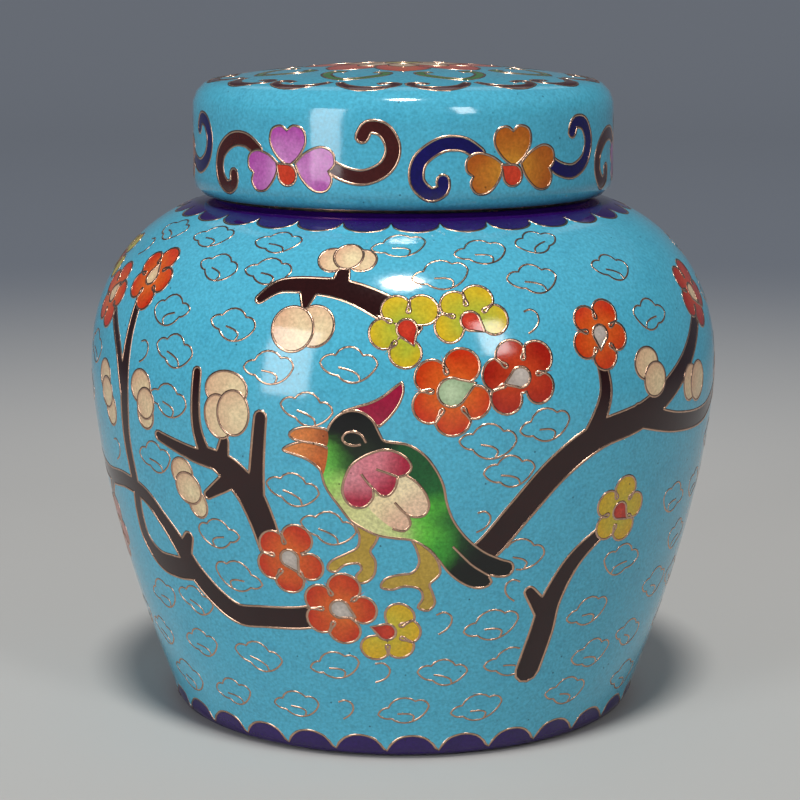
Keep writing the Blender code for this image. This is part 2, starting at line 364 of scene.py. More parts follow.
BEAK_TINTS = (
    ((-9.0, 8.0), "9A4A22", 1.8), ((-12.5, 8.4), "D67A3C", 2.2), ((-14.0, 6.0), "E08A4A", 2.0),
    ((-10.5, 4.6), "C0602A", 1.8),
)
LEAST_WEIGHT = 1e-6
# The bird's parts, bottom first. A joined part has no wire between it and the one before
BIRD_PARTS = (
    (NEAR_LEG, "mustard", None, False),
    (FAR_LEG, "mustard", None, False),
    (CREST, "crimson", None, False),
    (BODY, "painted", BODY_TINTS, False),
    (LOWER_BEAK, "painted", BEAK_TINTS, True),
    (UPPER_BEAK, "painted", BEAK_TINTS, True),
    (LOWER_FEATHER, "painted", FEATHER_TINTS, True),
    (UPPER_FEATHER, "painted", FEATHER_TINTS, True),
    (WING, "painted", WING_TINTS, False),
)

# A cloud is a hook that runs on into lobes. Each lobe starts at a cusp, with its bulge as the third value
CLOUD_SHAPES = {
    "Large Cloud": (
        ((-1.6, -0.4), (0.1, -0.8), (1.4, -1.5), (1.7, -2.5)),
        (
            (1.7, -2.5, 0.35), (-1.7, -1.6, 0.3), (-4.5, 0.3, 0.42), (-2.1, 1.5, 0.62), (2.2, 1.4, 0.5),
            (4.4, 0.0, 0.18), (1.7, -2.5, 0.0),
        ),
    ),
    "Small Cloud": (
        ((-1.1, -0.5), (0.8, -0.8), (1.7, -1.5), (1.3, -2.6)),
        (
            (1.3, -2.6, 0.3), (-2.3, -1.3, 0.3), (-4.5, -0.1, 0.35), (-2.5, 1.1, 0.58), (2.3, 1.7, 0.55),
            (4.5, 0.1, 0.25), (1.3, -2.6, 0.0),
        ),
    ),
    "Comma": (((-1.5, 1.5), (-0.3, 1.9), (0.8, 1.2), (0.9, -0.1), (0.1, -1.3), (-1.1, -2.1)), ()),
}
COMMA_KIND = 2
CLOUD_LOBE_STEPS = 6
# Clouds in front: degrees round and mm high
FRONT_CLOUDS = (
    (-64, 84), (-47, 84), (-28, 84), (-1, 84), (16, 83), (30, 84), (-39, 80), (-27, 80), (7, 80),
    (25, 79), (-46, 73), (-31, 72), (-74, 64), (-43, 67), (-23, 66), (-9, 67), (-44, 59), (-16, 60),
    (14, 55), (24, 57), (-49, 49), (-19, 47), (18, 50), (-13, 41), (-35, 38), (21, 36), (-32, 31),
    (-57, 24), (-45, 25), (-64, 16), (17, 24), (-47, 17), (-31, 17), (-14, 17), (8, 16), (22, 17),
    (-58, 9), (-41, 9), (-24, 9), (0, 9), (16, 9),
)
FRONT_COMMAS = ((-68, 81), (23, 73), (-51, 66), (-63, 48), (14, 42), (20, 30), (8, 25), (-4, 16), (-12, 9))
# Clouds round the back: rows in mm, columns in degrees, their play, and the room each one wants in mm
CLOUD_ROWS = 11
CLOUD_COLUMNS = 24
FIRST_ROW = 10.5
CLOUD_ROW_STEP = 8.2
ROW_PLAY = 0.9
FIRST_COLUMN = 27.0
CLOUD_COLUMN_STEP = 11.4
COLUMN_PLAY = 1.6
LAST_COLUMN = 284.0
CLOUD_SPACING = (9.4, 6.2)
CLOUD_ROOM = (4.7, 3.3)
CLOUD_REACH = 4.8
PLACE_SEED = 11
CLOUD_TURN = 9.0
CLOUD_SIDES = (-1.0, 1.0, 1.0)
CLOUD_SIZES = (0.9, 1.02)
TURN_SEED = 5

# The lid's side: groups of a flower between two scrolls, in mm from a group's middle
LID_GROUPS = 6
FIRST_GROUP = -31.0
GROUP_ENAMELS = (("russet", "orchid"), ("navy", "amber"))
SCROLL_LEFT = (
    (-6.0, 9.6, 2.0), (-8.8, 11.2, 2.2), (-12.4, 11.0, 2.3), (-15.6, 8.6, 2.3), (-16.0, 5.4, 2.3),
    (-14.0, 3.3, 2.2), (-12.0, 4.0, 2.0), (-11.9, 5.4, 2.1),
)
SCROLL_RIGHT = (
    (6.6, 8.4, 2.0), (9.6, 6.6, 2.2), (13.2, 6.0, 2.3), (16.6, 7.6, 2.3), (17.8, 10.6, 2.3),
    (16.4, 13.4, 2.2), (13.9, 13.9, 2.0), (12.9, 12.4, 2.1),
)
# Heart petals: across, up, where it points and size, then half the outline in shares of the size
HEART_PETALS = ((-4.5, 6.8, 197.0, 3.9), (4.6, 7.3, -10.0, 4.2), (0.1, 10.4, 92.0, 4.0))
HEART_OUTLINE = ((-0.75, 0.0), (-0.40, 0.48), (0.18, 0.84), (0.70, 0.74), (0.86, 0.30), (0.66, 0.0))
GROUP_HEART = (1.75, 1.0, 140.0)
GROUP_HEART_HEIGHT = 6.0
GROUP_SHADE = 7.5

# The lid's crown: mm from its middle and mm round it
CROWN_PARTS = 8
CROWN_SCROLL = (
    (28.6, 0.8, 1.0), (30.9, 2.4, 1.6), (32.4, 5.0, 2.0), (32.6, 7.9, 2.0), (31.4, 10.3, 1.8),
    (29.5, 10.5, 1.5), (28.7, 9.0, 1.3), (29.4, 7.5, 1.2),
)
CROWN_VINE = ((26.2, -0.2, 1.4), (24.4, 2.8, 1.7), (21.4, 5.0, 1.8), (18.8, 4.6, 1.6), (18.6, 2.6, 1.3))
OUTER_LOTUS = (
    (5.0, -2.0), (10.0, -4.8), (14.6, -3.8), (17.2, 0.0), (17.2, 0.0), (14.6, 3.8), (10.0, 4.8),
    (5.0, 2.0),
)
INNER_LOTUS = (
    (2.6, -0.9), (6.0, -2.6), (8.8, -2.0), (10.4, 0.0), (10.4, 0.0), (8.8, 2.0), (6.0, 2.6), (2.6, 0.9),
)
LOTUS_LAYERS = ((OUTER_LOTUS, "vermilion", 16.0), (INNER_LOTUS, "cream", 10.0))
LOTUS_LIGHT = 0.3
LOTUS_HEART_RADIUS = 3.2

# Sockets that both trees of the wall have
WALL_INPUTS = {
    "Geometry": "Geometry", "Profile": "Object", "Girth Radius": "Float", "Start Length": "Float",
    "Copper": "Material",
}

# Enamel: each noise's share of the grain's scale, its detail and its roughness, then what they do
NOISES = ((1.0, 3.0, 0.6), (0.12, 2.0, 0.5), (0.3, 1.0, 0.5))
DRIFT_SHARE = 0.9
FLECK_SPREAD = 0.18
PAINTED_SPREAD = 0.26
FLECK_RANGE = (0.3, 0.7)
PIT_RANGE = (0.03, 0.06)
PIT_DARKNESS = 0.35
ENAMEL_ROUGHNESS = (0.05, 0.16)
RIPPLE_STRENGTH = 0.25
RIPPLE_HEIGHT = 0.03
GLASS_IOR = 1.52
# Copper
WEAR_SCALE = 900.0
WEAR_DETAIL = 3.0
WORN_SHARE = 0.45
COPPER_ROUGHNESS = (0.14, 0.34)

# The stage and the camera, with lengths in mm, angles in degrees and power in watts
CAMERA_PLACE = (-0.53, -406.4, 126.85)
CAMERA_TILT = 79.55
CAMERA_LENS = 106.2
CAMERA_SENSOR = 36.0
FLOOR_RADIUS = 1400.0
COVE_RADIUS = 900.0
COVE_STEPS = 16
WALL_HEIGHT = 1300.0
FLOOR_SIDES = 64
# A painted pool of light on the floor: the paper is pale out to the first radius and fades into painted shade by
# the second
PAINTED_POOL_RADIUS = 90.0
PAINTED_SHADE_RADIUS = 640.0
PAPER_HEX = "B9B8B5"
PAPER_ROUGHNESS = 0.8
# The painted shade's grey, which the floor and its curved wall take far from the jar
PAINTED_SHADE_HEX = "6A707A"
WORLD_HEX = "A8B0BC"
WORLD_STRENGTH = 0.32
LAMP_ELEVATION = 71.0
LAMP_STRENGTH = 2.05
LAMP_SPREAD = 10.0
LAMP_COLOUR = (1.0, 0.98, 0.95)
BOX_AIM = (0.0, 0.0, 60.0)
# Soft boxes: azimuth, elevation, distance, width, height, power and colour
SOFT_BOXES = {
    "left box": (-41.0, 14.0, 1000.0, 300.0, 620.0, 4.0, (0.96, 0.98, 1.0)),
    "right box": (34.0, 28.0, 1100.0, 180.0, 380.0, 2.4, (1.0, 0.98, 0.96)),
    "back box": (180.0, 46.0, 1200.0, 1000.0, 500.0, 0.8, (0.97, 0.98, 1.0)),
}


def linear(code):
    """Turns an sRGB hex code into linear red, green and blue."""
    values = [int(code[place : place + 2], 16) / 255.0 for place in (0, 2, 4)]
    return tuple(v / 12.92 if v <= 0.04045 else ((v + 0.055) / 1.055) ** 2.4 for v in values)


def size_property(label, words, value):
    return bpy.props.FloatProperty(name=label, description=words, default=value * MM, unit="LENGTH")


def colour_property(label, words, code):
    return bpy.props.FloatVectorProperty(
        name=label, description=words, subtype="COLOR", size=3, min=0.0, max=1.0, default=linear(code)
    )


class GingerJarSizes(bpy.types.PropertyGroup):
    """Sizes of the wire and of the enamel's grain."""

    wire_width: size_property("Wire Width", "Width of the wire's polished top", WIRE_WIDTH)
    wire_rise: size_property("Wire Rise", "How far the wire stands out of the enamel", WIRE_RISE)
    wire_depth: size_property("Wire Depth", "How deep the wire is sunk", WIRE_DEPTH)
    grain: size_property("Grain", "Size of the ground glass's mottling", GRAIN)
    pit_spacing: size_property("Pit Spacing", "Mean distance between pinholes", PIT_SPACING)


class GingerJarColours(bpy.types.PropertyGroup):
    """The copper's colour, and the light and the deep colour of each enamel."""

    copper: colour_property("Copper", "Polished wires and rims", COPPER_HEX)


for enamel_name, (light_code, deep_code, use) in ENAMELS.items():
    title = enamel_name.replace("_", " ").title()
    slots = GingerJarColours.__annotations__
    slots[enamel_name] = colour_property(title, f"Light tone: {use}", light_code)
    slots[enamel_name + "_deep"] = colour_property(title + " Deep", f"Deep tone: {use}", deep_code)


def arc(centre, radii, start, end, steps):
    """Points on an ellipse's arc about centre, from the angle start to the angle end, in degrees."""
    angles = [math.radians(start + (end - start) * step / steps) for step in range(steps + 1)]
    return [(centre[0] + radii[0] * math.cos(a), centre[1] + radii[1] * math.sin(a)) for a in angles]


def lower_radius(height):
    """The belly's radius below its widest height."""
    foot_edge = FOOT_RADIUS + FOOT_ROUNDING
    share = (BELLY_HEIGHT - height) / (BELLY_HEIGHT - FOOT_ROUNDING_HEIGHT)
    return BELLY_RADIUS - (BELLY_RADIUS - foot_edge) * share**LOWER_FULLNESS


def shoulder_radius(height):
    """The shoulder's radius, as part of a superellipse's quarter."""

    def inset(share):
        return 1.0 - (1.0 - share**SHOULDER_FULLNESS) ** (1.0 / SHOULDER_FULLNESS)

    share = SHOULDER_SHARE * (height - BELLY_HEIGHT) / (SHOULDER_HEIGHT - BELLY_HEIGHT)
    return BELLY_RADIUS - (BELLY_RADIUS - NECK_RADIUS) * inset(share) / inset(SHOULDER_SHARE)


def wall_points(lower_steps, shoulder_steps):
    """The outside between the foot's rounding and the neck."""
    points = []
    for step in range(1, lower_steps):
        height = FOOT_ROUNDING_HEIGHT + (BELLY_HEIGHT - FOOT_ROUNDING_HEIGHT) * step / lower_steps
        points.append((lower_radius(height), height))
    for step in range(shoulder_steps + 1):
        rise = math.sin(math.radians(90.0 * step / shoulder_steps))
        height = BELLY_HEIGHT + (SHOULDER_HEIGHT - BELLY_HEIGHT) * rise
        points.append((shoulder_radius(height), height))
    return points


def inset_points(wall, thickness):
    """The same wall moved inwards by its thickness, square to the surface."""
    points = []
    for index, (radius, height) in enumerate(wall):
        before = wall[max(index - 1, 0)]
        after = wall[min(index + 1, len(wall) - 1)]
        along = (after[0] - before[0], after[1] - before[1])
        length = math.hypot(*along)
        points.append((radius - thickness * along[1] / length, height + thickness * along[0] / length))
    return points


class Wall:
    """A closed turned section in mm: what lies before the drawn wall, the drawn wall, and the rest."""

    def __init__(self, before, drawn, after, girth):
        self.before = before
        self.drawn = drawn
        self.girth = girth
        self.half = math.pi * girth
        self.columns = [-self.half + 2.0 * self.half * step / COLUMNS for step in range(COLUMNS + 1)]
        self.points = before + drawn[1:] + after[1:]
        self.lengths = [0.0]
        for one, two in zip(self.points, self.points[1:]):
            self.lengths.append(self.lengths[-1] + math.dist(one, two))
        self.start = self.lengths[len(before) - 1]
        self.height = self.lengths[len(before) + len(drawn) - 2] - self.start

    def radius(self, along):
        """The wall's radius at a height measured along the drawing."""
        wanted = self.start + along
        for index in range(1, len(self.lengths)):
            if self.lengths[index] >= wanted:
                span = self.lengths[index] - self.lengths[index - 1]
                share = (wanted - self.lengths[index - 1]) / span
                return self.points[index - 1][0] * (1.0 - share) + self.points[index][0] * share
        return self.points[-1][0]

    def stretch(self, along):
        """How much wider the drawing is than the wall at that height."""
        return self.girth / self.radius(along)

    def along(self, height):
        """How far up the drawing a height of the outside lies."""
        for index, (low, high) in enumerate(zip(self.drawn, self.drawn[1:])):
            if low[1] <= height <= high[1]:
                share = (height - low[1]) / (high[1] - low[1])
                place = len(self.before) - 1 + index
                span = self.lengths[place + 1] - self.lengths[place]
                return self.lengths[place] + share * span - self.start
        raise ValueError("height is off the wall")


def jar_wall():
    foot_inner = FOOT_RADIUS - FOOT_RING_WIDTH
    before = [(0.0, FOOT_RECESS), (foot_inner - RECESS_DRAFT, FOOT_RECESS), (foot_inner, 0.0), (FOOT_RADIUS, 0.0)]
    foot_centre = (FOOT_RADIUS, FOOT_ROUNDING_HEIGHT)
    foot = arc(foot_centre, (FOOT_ROUNDING, FOOT_ROUNDING_HEIGHT), -90.0, 0.0, FOOT_STEPS)
    wall = wall_points(WALL_STEPS, WALL_STEPS)
    inner_neck = NECK_RADIUS - NECK_WALL
    rim_centre = NECK_TOP - RIM_ROUNDING
    rounding = (RIM_ROUNDING, RIM_ROUNDING)
    rim = arc((NECK_RADIUS - RIM_ROUNDING, rim_centre), rounding, 0.0, 90.0, RIM_STEPS)
    rim += arc((inner_neck + RIM_ROUNDING, rim_centre), rounding, 90.0, 180.0, RIM_STEPS)
    floor_height = FOOT_RECESS + FLOOR_THICKNESS
    floor_start = floor_height + FLOOR_ROUNDING
    inside = [
        point
        for point in reversed(inset_points(wall_points(*INSIDE_STEPS), BODY_WALL))
        if point[0] > inner_neck + RIM_ROUNDING and point[1] > floor_start
    ]
    floor_centre = (lower_radius(floor_start) - BODY_WALL - FLOOR_ROUNDING, floor_start)
    floor = arc(floor_centre, (FLOOR_ROUNDING, FLOOR_ROUNDING), 0.0, -90.0, FLOOR_STEPS)
    neck_foot = (inner_neck, inside[0][1] + RIM_ROUNDING)
    after = [wall[-1], (NECK_RADIUS, SHOULDER_HEIGHT + RIM_ROUNDING)] + rim + [neck_foot] + inside + floor
    return Wall(before, foot + wall, after + [(0.0, floor_height)], BELLY_RADIUS)


def lid_wall():
    crown_edge = LID_TOP - CROWN_RISE
    ceiling = crown_edge - CROWN_THICKNESS
    inner = LID_RADIUS - LID_WALL
    corner_centre = (inner - CEILING_ROUNDING, ceiling - CEILING_ROUNDING)
    corner = arc(corner_centre, (CEILING_ROUNDING, CEILING_ROUNDING), 90.0, 0.0, RIM_STEPS)
    edge = LID_RADIUS - LIP_SETBACK
    before = [(0.0, ceiling)] + corner + [(inner, LID_BOTTOM), (edge, LID_BOTTOM)]
    lip = arc((edge, LID_BOTTOM + LIP_HEIGHT), (LIP_SETBACK, LIP_HEIGHT), -90.0, 0.0, LIP_STEPS)
    flat = LID_RADIUS - CROWN_ROUNDING
    rounding = (CROWN_ROUNDING, CROWN_ROUNDING)
    crown = arc((flat, crown_edge - CROWN_ROUNDING), rounding, 0.0, 90.0, CROWN_STEPS)
    shares = [1.0 - step / DOME_STEPS for step in range(1, DOME_STEPS + 1)]
    dome = [(flat * share, crown_edge + CROWN_RISE * (1.0 - share**2)) for share in shares]
    return Wall(before, lip + crown + dome, [dome[-1]], LID_RADIUS)


def smoothed(points, closed=True, step=OUTLINE_STEP):
    """A smooth line through control points of any dimension. A point given twice makes a corner."""
    count = len(points)
    result = []
    for index in range(count if closed else count - 1):
        places = range(index - 1, index + 3)
        places = [place % count if closed else min(max(place, 0), count - 1) for place in places]
        one, two, three, four = [Vector(points[place]) for place in places]
        length = (three.xy - two.xy).length
        if length < SAME_POINT:
            continue
        pieces = max(2, math.ceil(length / step))
        for piece in range(pieces):
            t = piece / pieces
            point = 2.0 * two + (three - one) * t
            point += (2.0 * one - 5.0 * two + 4.0 * three - four) * t**2
            point += (3.0 * two - one - 3.0 * three + four) * t**3
            result.append(0.5 * point)
    if not closed:
        result.append(Vector(points[-1]))
    return result


def turned(points, degrees, about=(0.0, 0.0)):
    """Points turned by an angle and moved to a place."""
    cosine = math.cos(math.radians(degrees))
    sine = math.sin(math.radians(degrees))
    return [Vector((about[0] + x * cosine - y * sine, about[1] + x * sine + y * cosine)) for x, y in points]


def oval(across, up, half_width, half_height, turn=0.0):
    """A closed oval about a point, turned by degrees."""
    steps = max(12, math.ceil(2.0 * math.pi * max(half_width, half_height) / OUTLINE_STEP))
    angles = [2.0 * math.pi * step / steps for step in range(steps)]
    return turned([(half_width * math.cos(a), half_height * math.sin(a)) for a in angles], turn, (across, up))


def both_sides(line, stretch=lambda along: 1.0):
    """The left and the right side of a line whose points carry its width."""
    left = []
    right = []
    for index, point in enumerate(line):
        wide = stretch(point.y)
        along = line[min(index + 1, len(line) - 1)] - line[max(index - 1, 0)]
        along = Vector((along.x / wide, along.y)).normalized()
        side = Vector((-along.y, along.x)) * point.z / 2.0
        left.append(Vector((point.x + side.x * wide, point.y + side.y)))
        right.append(Vector((point.x - side.x * wide, point.y - side.y)))
    return left, right


class Design:
    """The flat drawing of one wall: its cells of enamel, bottom first, and the free wires between them."""

    def __init__(self, wall):
        self.wall = wall
        self.cells = []
        self.number = 0
        self.lines = []
        self.clouds = []

    def stamp(self, points, place):
        """Puts points drawn in true mm at a place given as degrees round the wall and mm up it."""
        middle = math.radians(place[0]) * self.wall.girth
        placed = []
        for x, y in map(Vector, points):
            up = place[1] + y
            placed.append(Vector((middle + x * self.wall.girth / self.wall.radius(up), up)))
        return placed

    def cell(self, outline, enamel, shade=None, tint=None, joined=False, ground=False):
        """Adds a cell over the earlier ones. A joined cell has no wire between it and the one before."""
        if not joined and not ground:
            self.number += 1
        if sum(a.x * b.y - b.x * a.y for a, b in zip(outline, outline[1:] + outline[:1])) < 0.0:
            outline = outline[::-1]
        self.cells.append((outline, enamel, 0 if ground else self.number, shade, tint))

    def stroke(self, path, enamel, joined=False):
        """A branch or a scroll: degrees, mm up and width at each point, with round ends."""
        line = smoothed([(math.radians(x) * self.wall.girth, y, width) for x, y, width in path], closed=False)
        left, right = both_sides(line, self.wall.stretch)
        outline = left + self.round_end(line[-1], line[-2]) + right[::-1] + self.round_end(line[0], line[1])
        self.cell(outline, enamel, joined=joined)

    def round_end(self, tip, inner):
        """The half circle that closes a stroke, going round the tip away from its inner point."""
        wide = self.wall.stretch(tip.y)
        along = Vector(((tip.x - inner.x) / wide, tip.y - inner.y)).normalized()
        ways = [turned([along], degrees)[0] for degrees in END_ANGLES]
        return [Vector((tip.x + way.x * wide * tip.z / 2.0, tip.y + way.y * tip.z / 2.0)) for way in ways]


def around(middle, reach):
    """A shade that goes from light at the middle to deep at a distance of reach."""
    return lambda point: min(1.0, (point - middle).length / reach)


def spots(design, places):
    """A tint blended from coloured spots, which are given in mm from the bird's place."""
    known = [(design.stamp([point], BIRD_PLACE)[0], linear(code), reach) for point, code, reach in places]

    def blend(point):
        total = 0.0
        colour = Vector((0.0, 0.0, 0.0))
        for middle, value, reach in known:
            weight = math.exp(-((point - middle).length / reach) ** 2) + LEAST_WEIGHT
            total += weight
            colour += weight * Vector(value)
        return colour / total

    return blend


def petal(size):
    """A round petal that points along x, from the flower's heart out to its size."""
    radii = (PETAL_RADII[0] * size, PETAL_RADII[1] * size)
    round_part = arc((PETAL_MIDDLE * size, 0.0), radii, -PETAL_ARC, PETAL_ARC, ROUND_STEPS)
    return [(PETAL_START * size, 0.0)] + round_part


def drop(radius, tail, direction):
    """A round heart whose tail points in a direction."""
    round_part = arc((0.0, 0.0), (radius, radius), HEART_GAP, 360.0 - HEART_GAP, ROUND_STEPS)
    return turned([(radius + tail, 0.0)] + round_part, direction)


def wire_fold(outer, inner):
    """The slim loop of a wire that is folded in between two petals, along x."""
    half = [(inner + share * (outer - inner), width) for share, width in FOLD_SHAPE]
    return [(outer, 0.0)] + half + [(inner, 0.0)] + [(x, -y) for x, y in reversed(half)]


def plum_flower(design, place, size, petals, enamel, heart, tail):
    """A plum blossom: petals that open into each other round a heart, with a folded wire between two."""
    middle = design.stamp([(0.0, 0.0)], place)[0]
    shade = around(middle, size)
    disc = (FULL_DISC if len(petals) > 4 else OPEN_DISC) * size
    design.cell(design.stamp(oval(0.0, 0.0, disc, disc), place), enamel, shade=shade)
    for index, direction in enumerate(petals):
        outline = turned(petal(size * PETAL_REACH[index % len(PETAL_REACH)]), direction)
        design.cell(design.stamp(outline, place), enamel, shade=shade, joined=True)
    order = sorted(petals)
    for one, two in zip(order, order[1:] + [order[0] + 360.0]):
        if two - one < WIDEST_FOLD:
            fold = turned(wire_fold(FOLD_REACH[0] * size, FOLD_REACH[1] * size), (one + two) / 2.0)
            design.cell(design.stamp(fold, place), enamel, shade=shade, ground=True)
    radius = HEART_SHARES[heart] * size
    outline = design.stamp(drop(radius, HEART_TAIL * radius, tail), place)
    design.cell(outline, heart, shade=around(middle, HEART_SHADE * radius))


def bud(design, place, lobes):
    """A bud of overlapping petals, each an oval: across, up, half width, half height and turn."""
    for across, up, half_width, half_height, turn in lobes:
        outline = design.stamp(oval(across, up, half_width, half_height, turn), place)
        light = (across + BUD_LIGHT[0] * half_width, up + BUD_LIGHT[1] * half_height)
        reach = BUD_SHADE * max(half_width, half_height)
        design.cell(outline, "cream", shade=around(design.stamp([light], place)[0], reach))


def scallops(design):
    """The indigo borders above the foot and under the neck."""
    wall = design.wall
    steps = SCALLOPS * SCALLOP_STEPS

    def edge(phase, cusp, tip):
        points = []
        for step in range(steps + 1):
            degrees = -180.0 + 360.0 * step / steps
            share = ((degrees - phase) * SCALLOPS / 360.0 + 0.5) % 1.0
            swell = math.sqrt(max(0.0, 1.0 - (2.0 * share - 1.0) ** 2))
            points.append(Vector((math.radians(degrees) * wall.girth, cusp + (tip - cusp) * swell)))
        return points

    base = [Vector((x, 0.0)) for x in wall.columns]
    design.cell(base + edge(LOWER_PHASE, LOWER_CUSP, LOWER_TIP)[::-1], "indigo")
    brim = [Vector((-x, wall.height)) for x in wall.columns]
    design.cell(edge(UPPER_PHASE, UPPER_CUSP, UPPER_TIP) + brim, "indigo")


def bird(design):
    """The crested bird, part by part, then its free wires."""
    for points, enamel, tints, joined in BIRD_PARTS:
        tint = spots(design, tints) if tints else None
        design.cell(design.stamp(smoothed(points), BIRD_PLACE), enamel, tint=tint, joined=joined)
    for points in BIRD_LINES:
        design.lines.append(design.stamp(smoothed(points, closed=False), BIRD_PLACE))


def cloud_line(hook, cusps):
    """The wire of a cloud: its smooth hook, then an arc from each cusp to the next."""
    line = smoothed(hook, closed=False, step=FINE_STEP)
    for one, two in zip(cusps, cusps[1:]):
        start = Vector(one[:2])
        chord = Vector(two[:2]) - start
        out = Vector((-chord.y, chord.x)) / 2.0
        sweep = 4.0 * math.atan(one[2])
        for step in range(1, CLOUD_LOBE_STEPS + 1):
            angle = sweep * (step / CLOUD_LOBE_STEPS - 0.5)
            along = 0.5 + 0.5 * math.sin(angle) / math.sin(sweep / 2.0)
            rise = (math.cos(angle) - math.cos(sweep / 2.0)) / math.sin(sweep / 2.0)
            line.append(start + chord * along + out * rise)
    return line


def near_tree(points):
    """A search tree of flat points."""
    tree = kdtree.KDTree(len(points))
    for index, point in enumerate(points):
        tree.insert((*point, 0.0), index)
    tree.balance()
    return tree


def clouds(design):
    """Clouds and commas of bare wire: placed one by one in front, and scattered by rule round the back."""
    wall = design.wall
    for degrees, height in FRONT_CLOUDS:
        design.clouds.append((degrees, wall.along(height), (degrees + height) % 2))
    for degrees, height in FRONT_COMMAS:
        design.clouds.append((degrees, wall.along(height), COMMA_KIND))
    chance = random.Random(PLACE_SEED)
    circle = 2.0 * wall.half
    turns = (-circle, 0.0, circle)
    outlines = [point for cell in design.cells for point in cell[0]]
    taken = near_tree([(point.x + turn, point.y) for point in outlines for turn in turns])
    settled = [(math.radians(degrees) * wall.girth, along) for degrees, along, kind in design.clouds]
    for row in range(CLOUD_ROWS):
        for column in range(CLOUD_COLUMNS):
            along = FIRST_ROW + row * CLOUD_ROW_STEP + chance.uniform(-ROW_PLAY, ROW_PLAY)
            degrees = FIRST_COLUMN + (column + 0.5 * (row % 2)) * CLOUD_COLUMN_STEP
            degrees += chance.uniform(-COLUMN_PLAY, COLUMN_PLAY)
            if degrees > LAST_COLUMN:
                continue
            degrees = (degrees + 180.0) % 360.0 - 180.0
            x = math.radians(degrees) * wall.girth
            wide = wall.stretch(along)
            gaps = [((x - a + wall.half) % circle - wall.half, along - b) for a, b in settled]
            if any(abs(a) / wide < CLOUD_SPACING[0] and abs(b) < CLOUD_SPACING[1] for a, b in gaps):
                continue
            near = [found[0] for found in taken.find_range((x, along, 0.0), CLOUD_REACH * wide)]
            if any(abs(p.x - x) / wide < CLOUD_ROOM[0] and abs(p.y - along) < CLOUD_ROOM[1] for p in near):
                continue
            if any(covered(design, Vector((x + turn, along))) for turn in turns):
                continue
            settled.append((x, along))
            design.clouds.append((degrees, along, (row + column) % 2))


def covered(design, point):
    """Whether a point lies in a cell other than the ground."""
    for cell in design.cells:
        inside = False
        for one, two in zip(cell[0], cell[0][1:] + cell[0][:1]):
            if (one.y > point.y) != (two.y > point.y):
                if point.x < (two.x - one.x) * (point.y - one.y) / (two.y - one.y) + one.x:
                    inside = not inside
        if inside:
            return True
    return False


def jar_design():
    design = Design(jar_wall())
    scallops(design)
    for tree in BRANCHES:
        for index, path in enumerate(tree):
            design.stroke(path, "bark", joined=index > 0)
    for place, lobes in BUDS:
        bud(design, place, lobes)
    for flower in FLOWERS:
        plum_flower(design, *flower)
    bird(design)
    clouds(design)
    return design


def heart_petal(size):
    """A heart-shaped petal that points along x, notched at its outer end."""
    half = [(x * size, y * size) for x, y in HEART_OUTLINE]
    return smoothed(half[:1] + half + [(x, -y) for x, y in reversed(half[1:])])


def on_crown(design, points, degrees):
    """Puts points on the crown: mm from its middle and mm round it, counted from an angle."""
    placed = []
    for point in points:
        angle = point[1] / point[0] + math.radians(degrees)
        placed.append(Vector((angle * design.wall.girth, design.wall.height - point[0])))
    return placed


def lid_design():
    design = Design(lid_wall())
    wall = design.wall
    for group in range(LID_GROUPS):
        middle = FIRST_GROUP + group * 360.0 / LID_GROUPS
        if middle > 180.0:
            middle -= 360.0
        scroll, leaf = GROUP_ENAMELS[group % 2]
        for path in (SCROLL_LEFT, SCROLL_RIGHT):
            design.stroke([(middle + math.degrees(x / wall.girth), y, width) for x, y, width in path], scroll)
        shade = around(design.stamp([(0.0, GROUP_HEART_HEIGHT)], (middle, 0.0))[0], GROUP_SHADE)
        for across, up, direction, size in HEART_PETALS:
            place = (middle + math.degrees(across / wall.girth), up)
            design.cell(design.stamp(turned(heart_petal(size), direction), place), leaf, shade=shade)
        design.cell(design.stamp(drop(*GROUP_HEART), (middle, GROUP_HEART_HEIGHT)), "drop_red")
    for index in range(CROWN_PARTS):
        angle = -180.0 + (index + 0.5) * 360.0 / CROWN_PARTS
        for path, enamel in ((CROWN_SCROLL, "russet"), (CROWN_VINE, "leaf")):
            for side in (-1.0, 1.0):
                curve = [(x, side * y, width) for x, y, width in path]
                left, right = both_sides(smoothed(curve, closed=False, step=SCROLL_STEP))
                joined = enamel == "leaf" and side > 0.0
                design.cell(on_crown(design, left + right[::-1], angle), enamel, joined=joined)
    for petals, enamel, reach in LOTUS_LAYERS:
        for index in range(CROWN_PARTS):
            angle = -180.0 + index * 360.0 / CROWN_PARTS
            outline = on_crown(design, smoothed(petals, step=FINE_STEP), angle)
            middle = on_crown(design, [(LOTUS_LIGHT * reach, 0.0)], angle)[0]
            design.cell(outline, enamel, shade=around(middle, reach))
    low = [Vector((x, wall.height - LOTUS_HEART_RADIUS)) for x in wall.columns]
    design.cell(low + [Vector((-x, wall.height)) for x in wall.columns], "yolk")
    return design


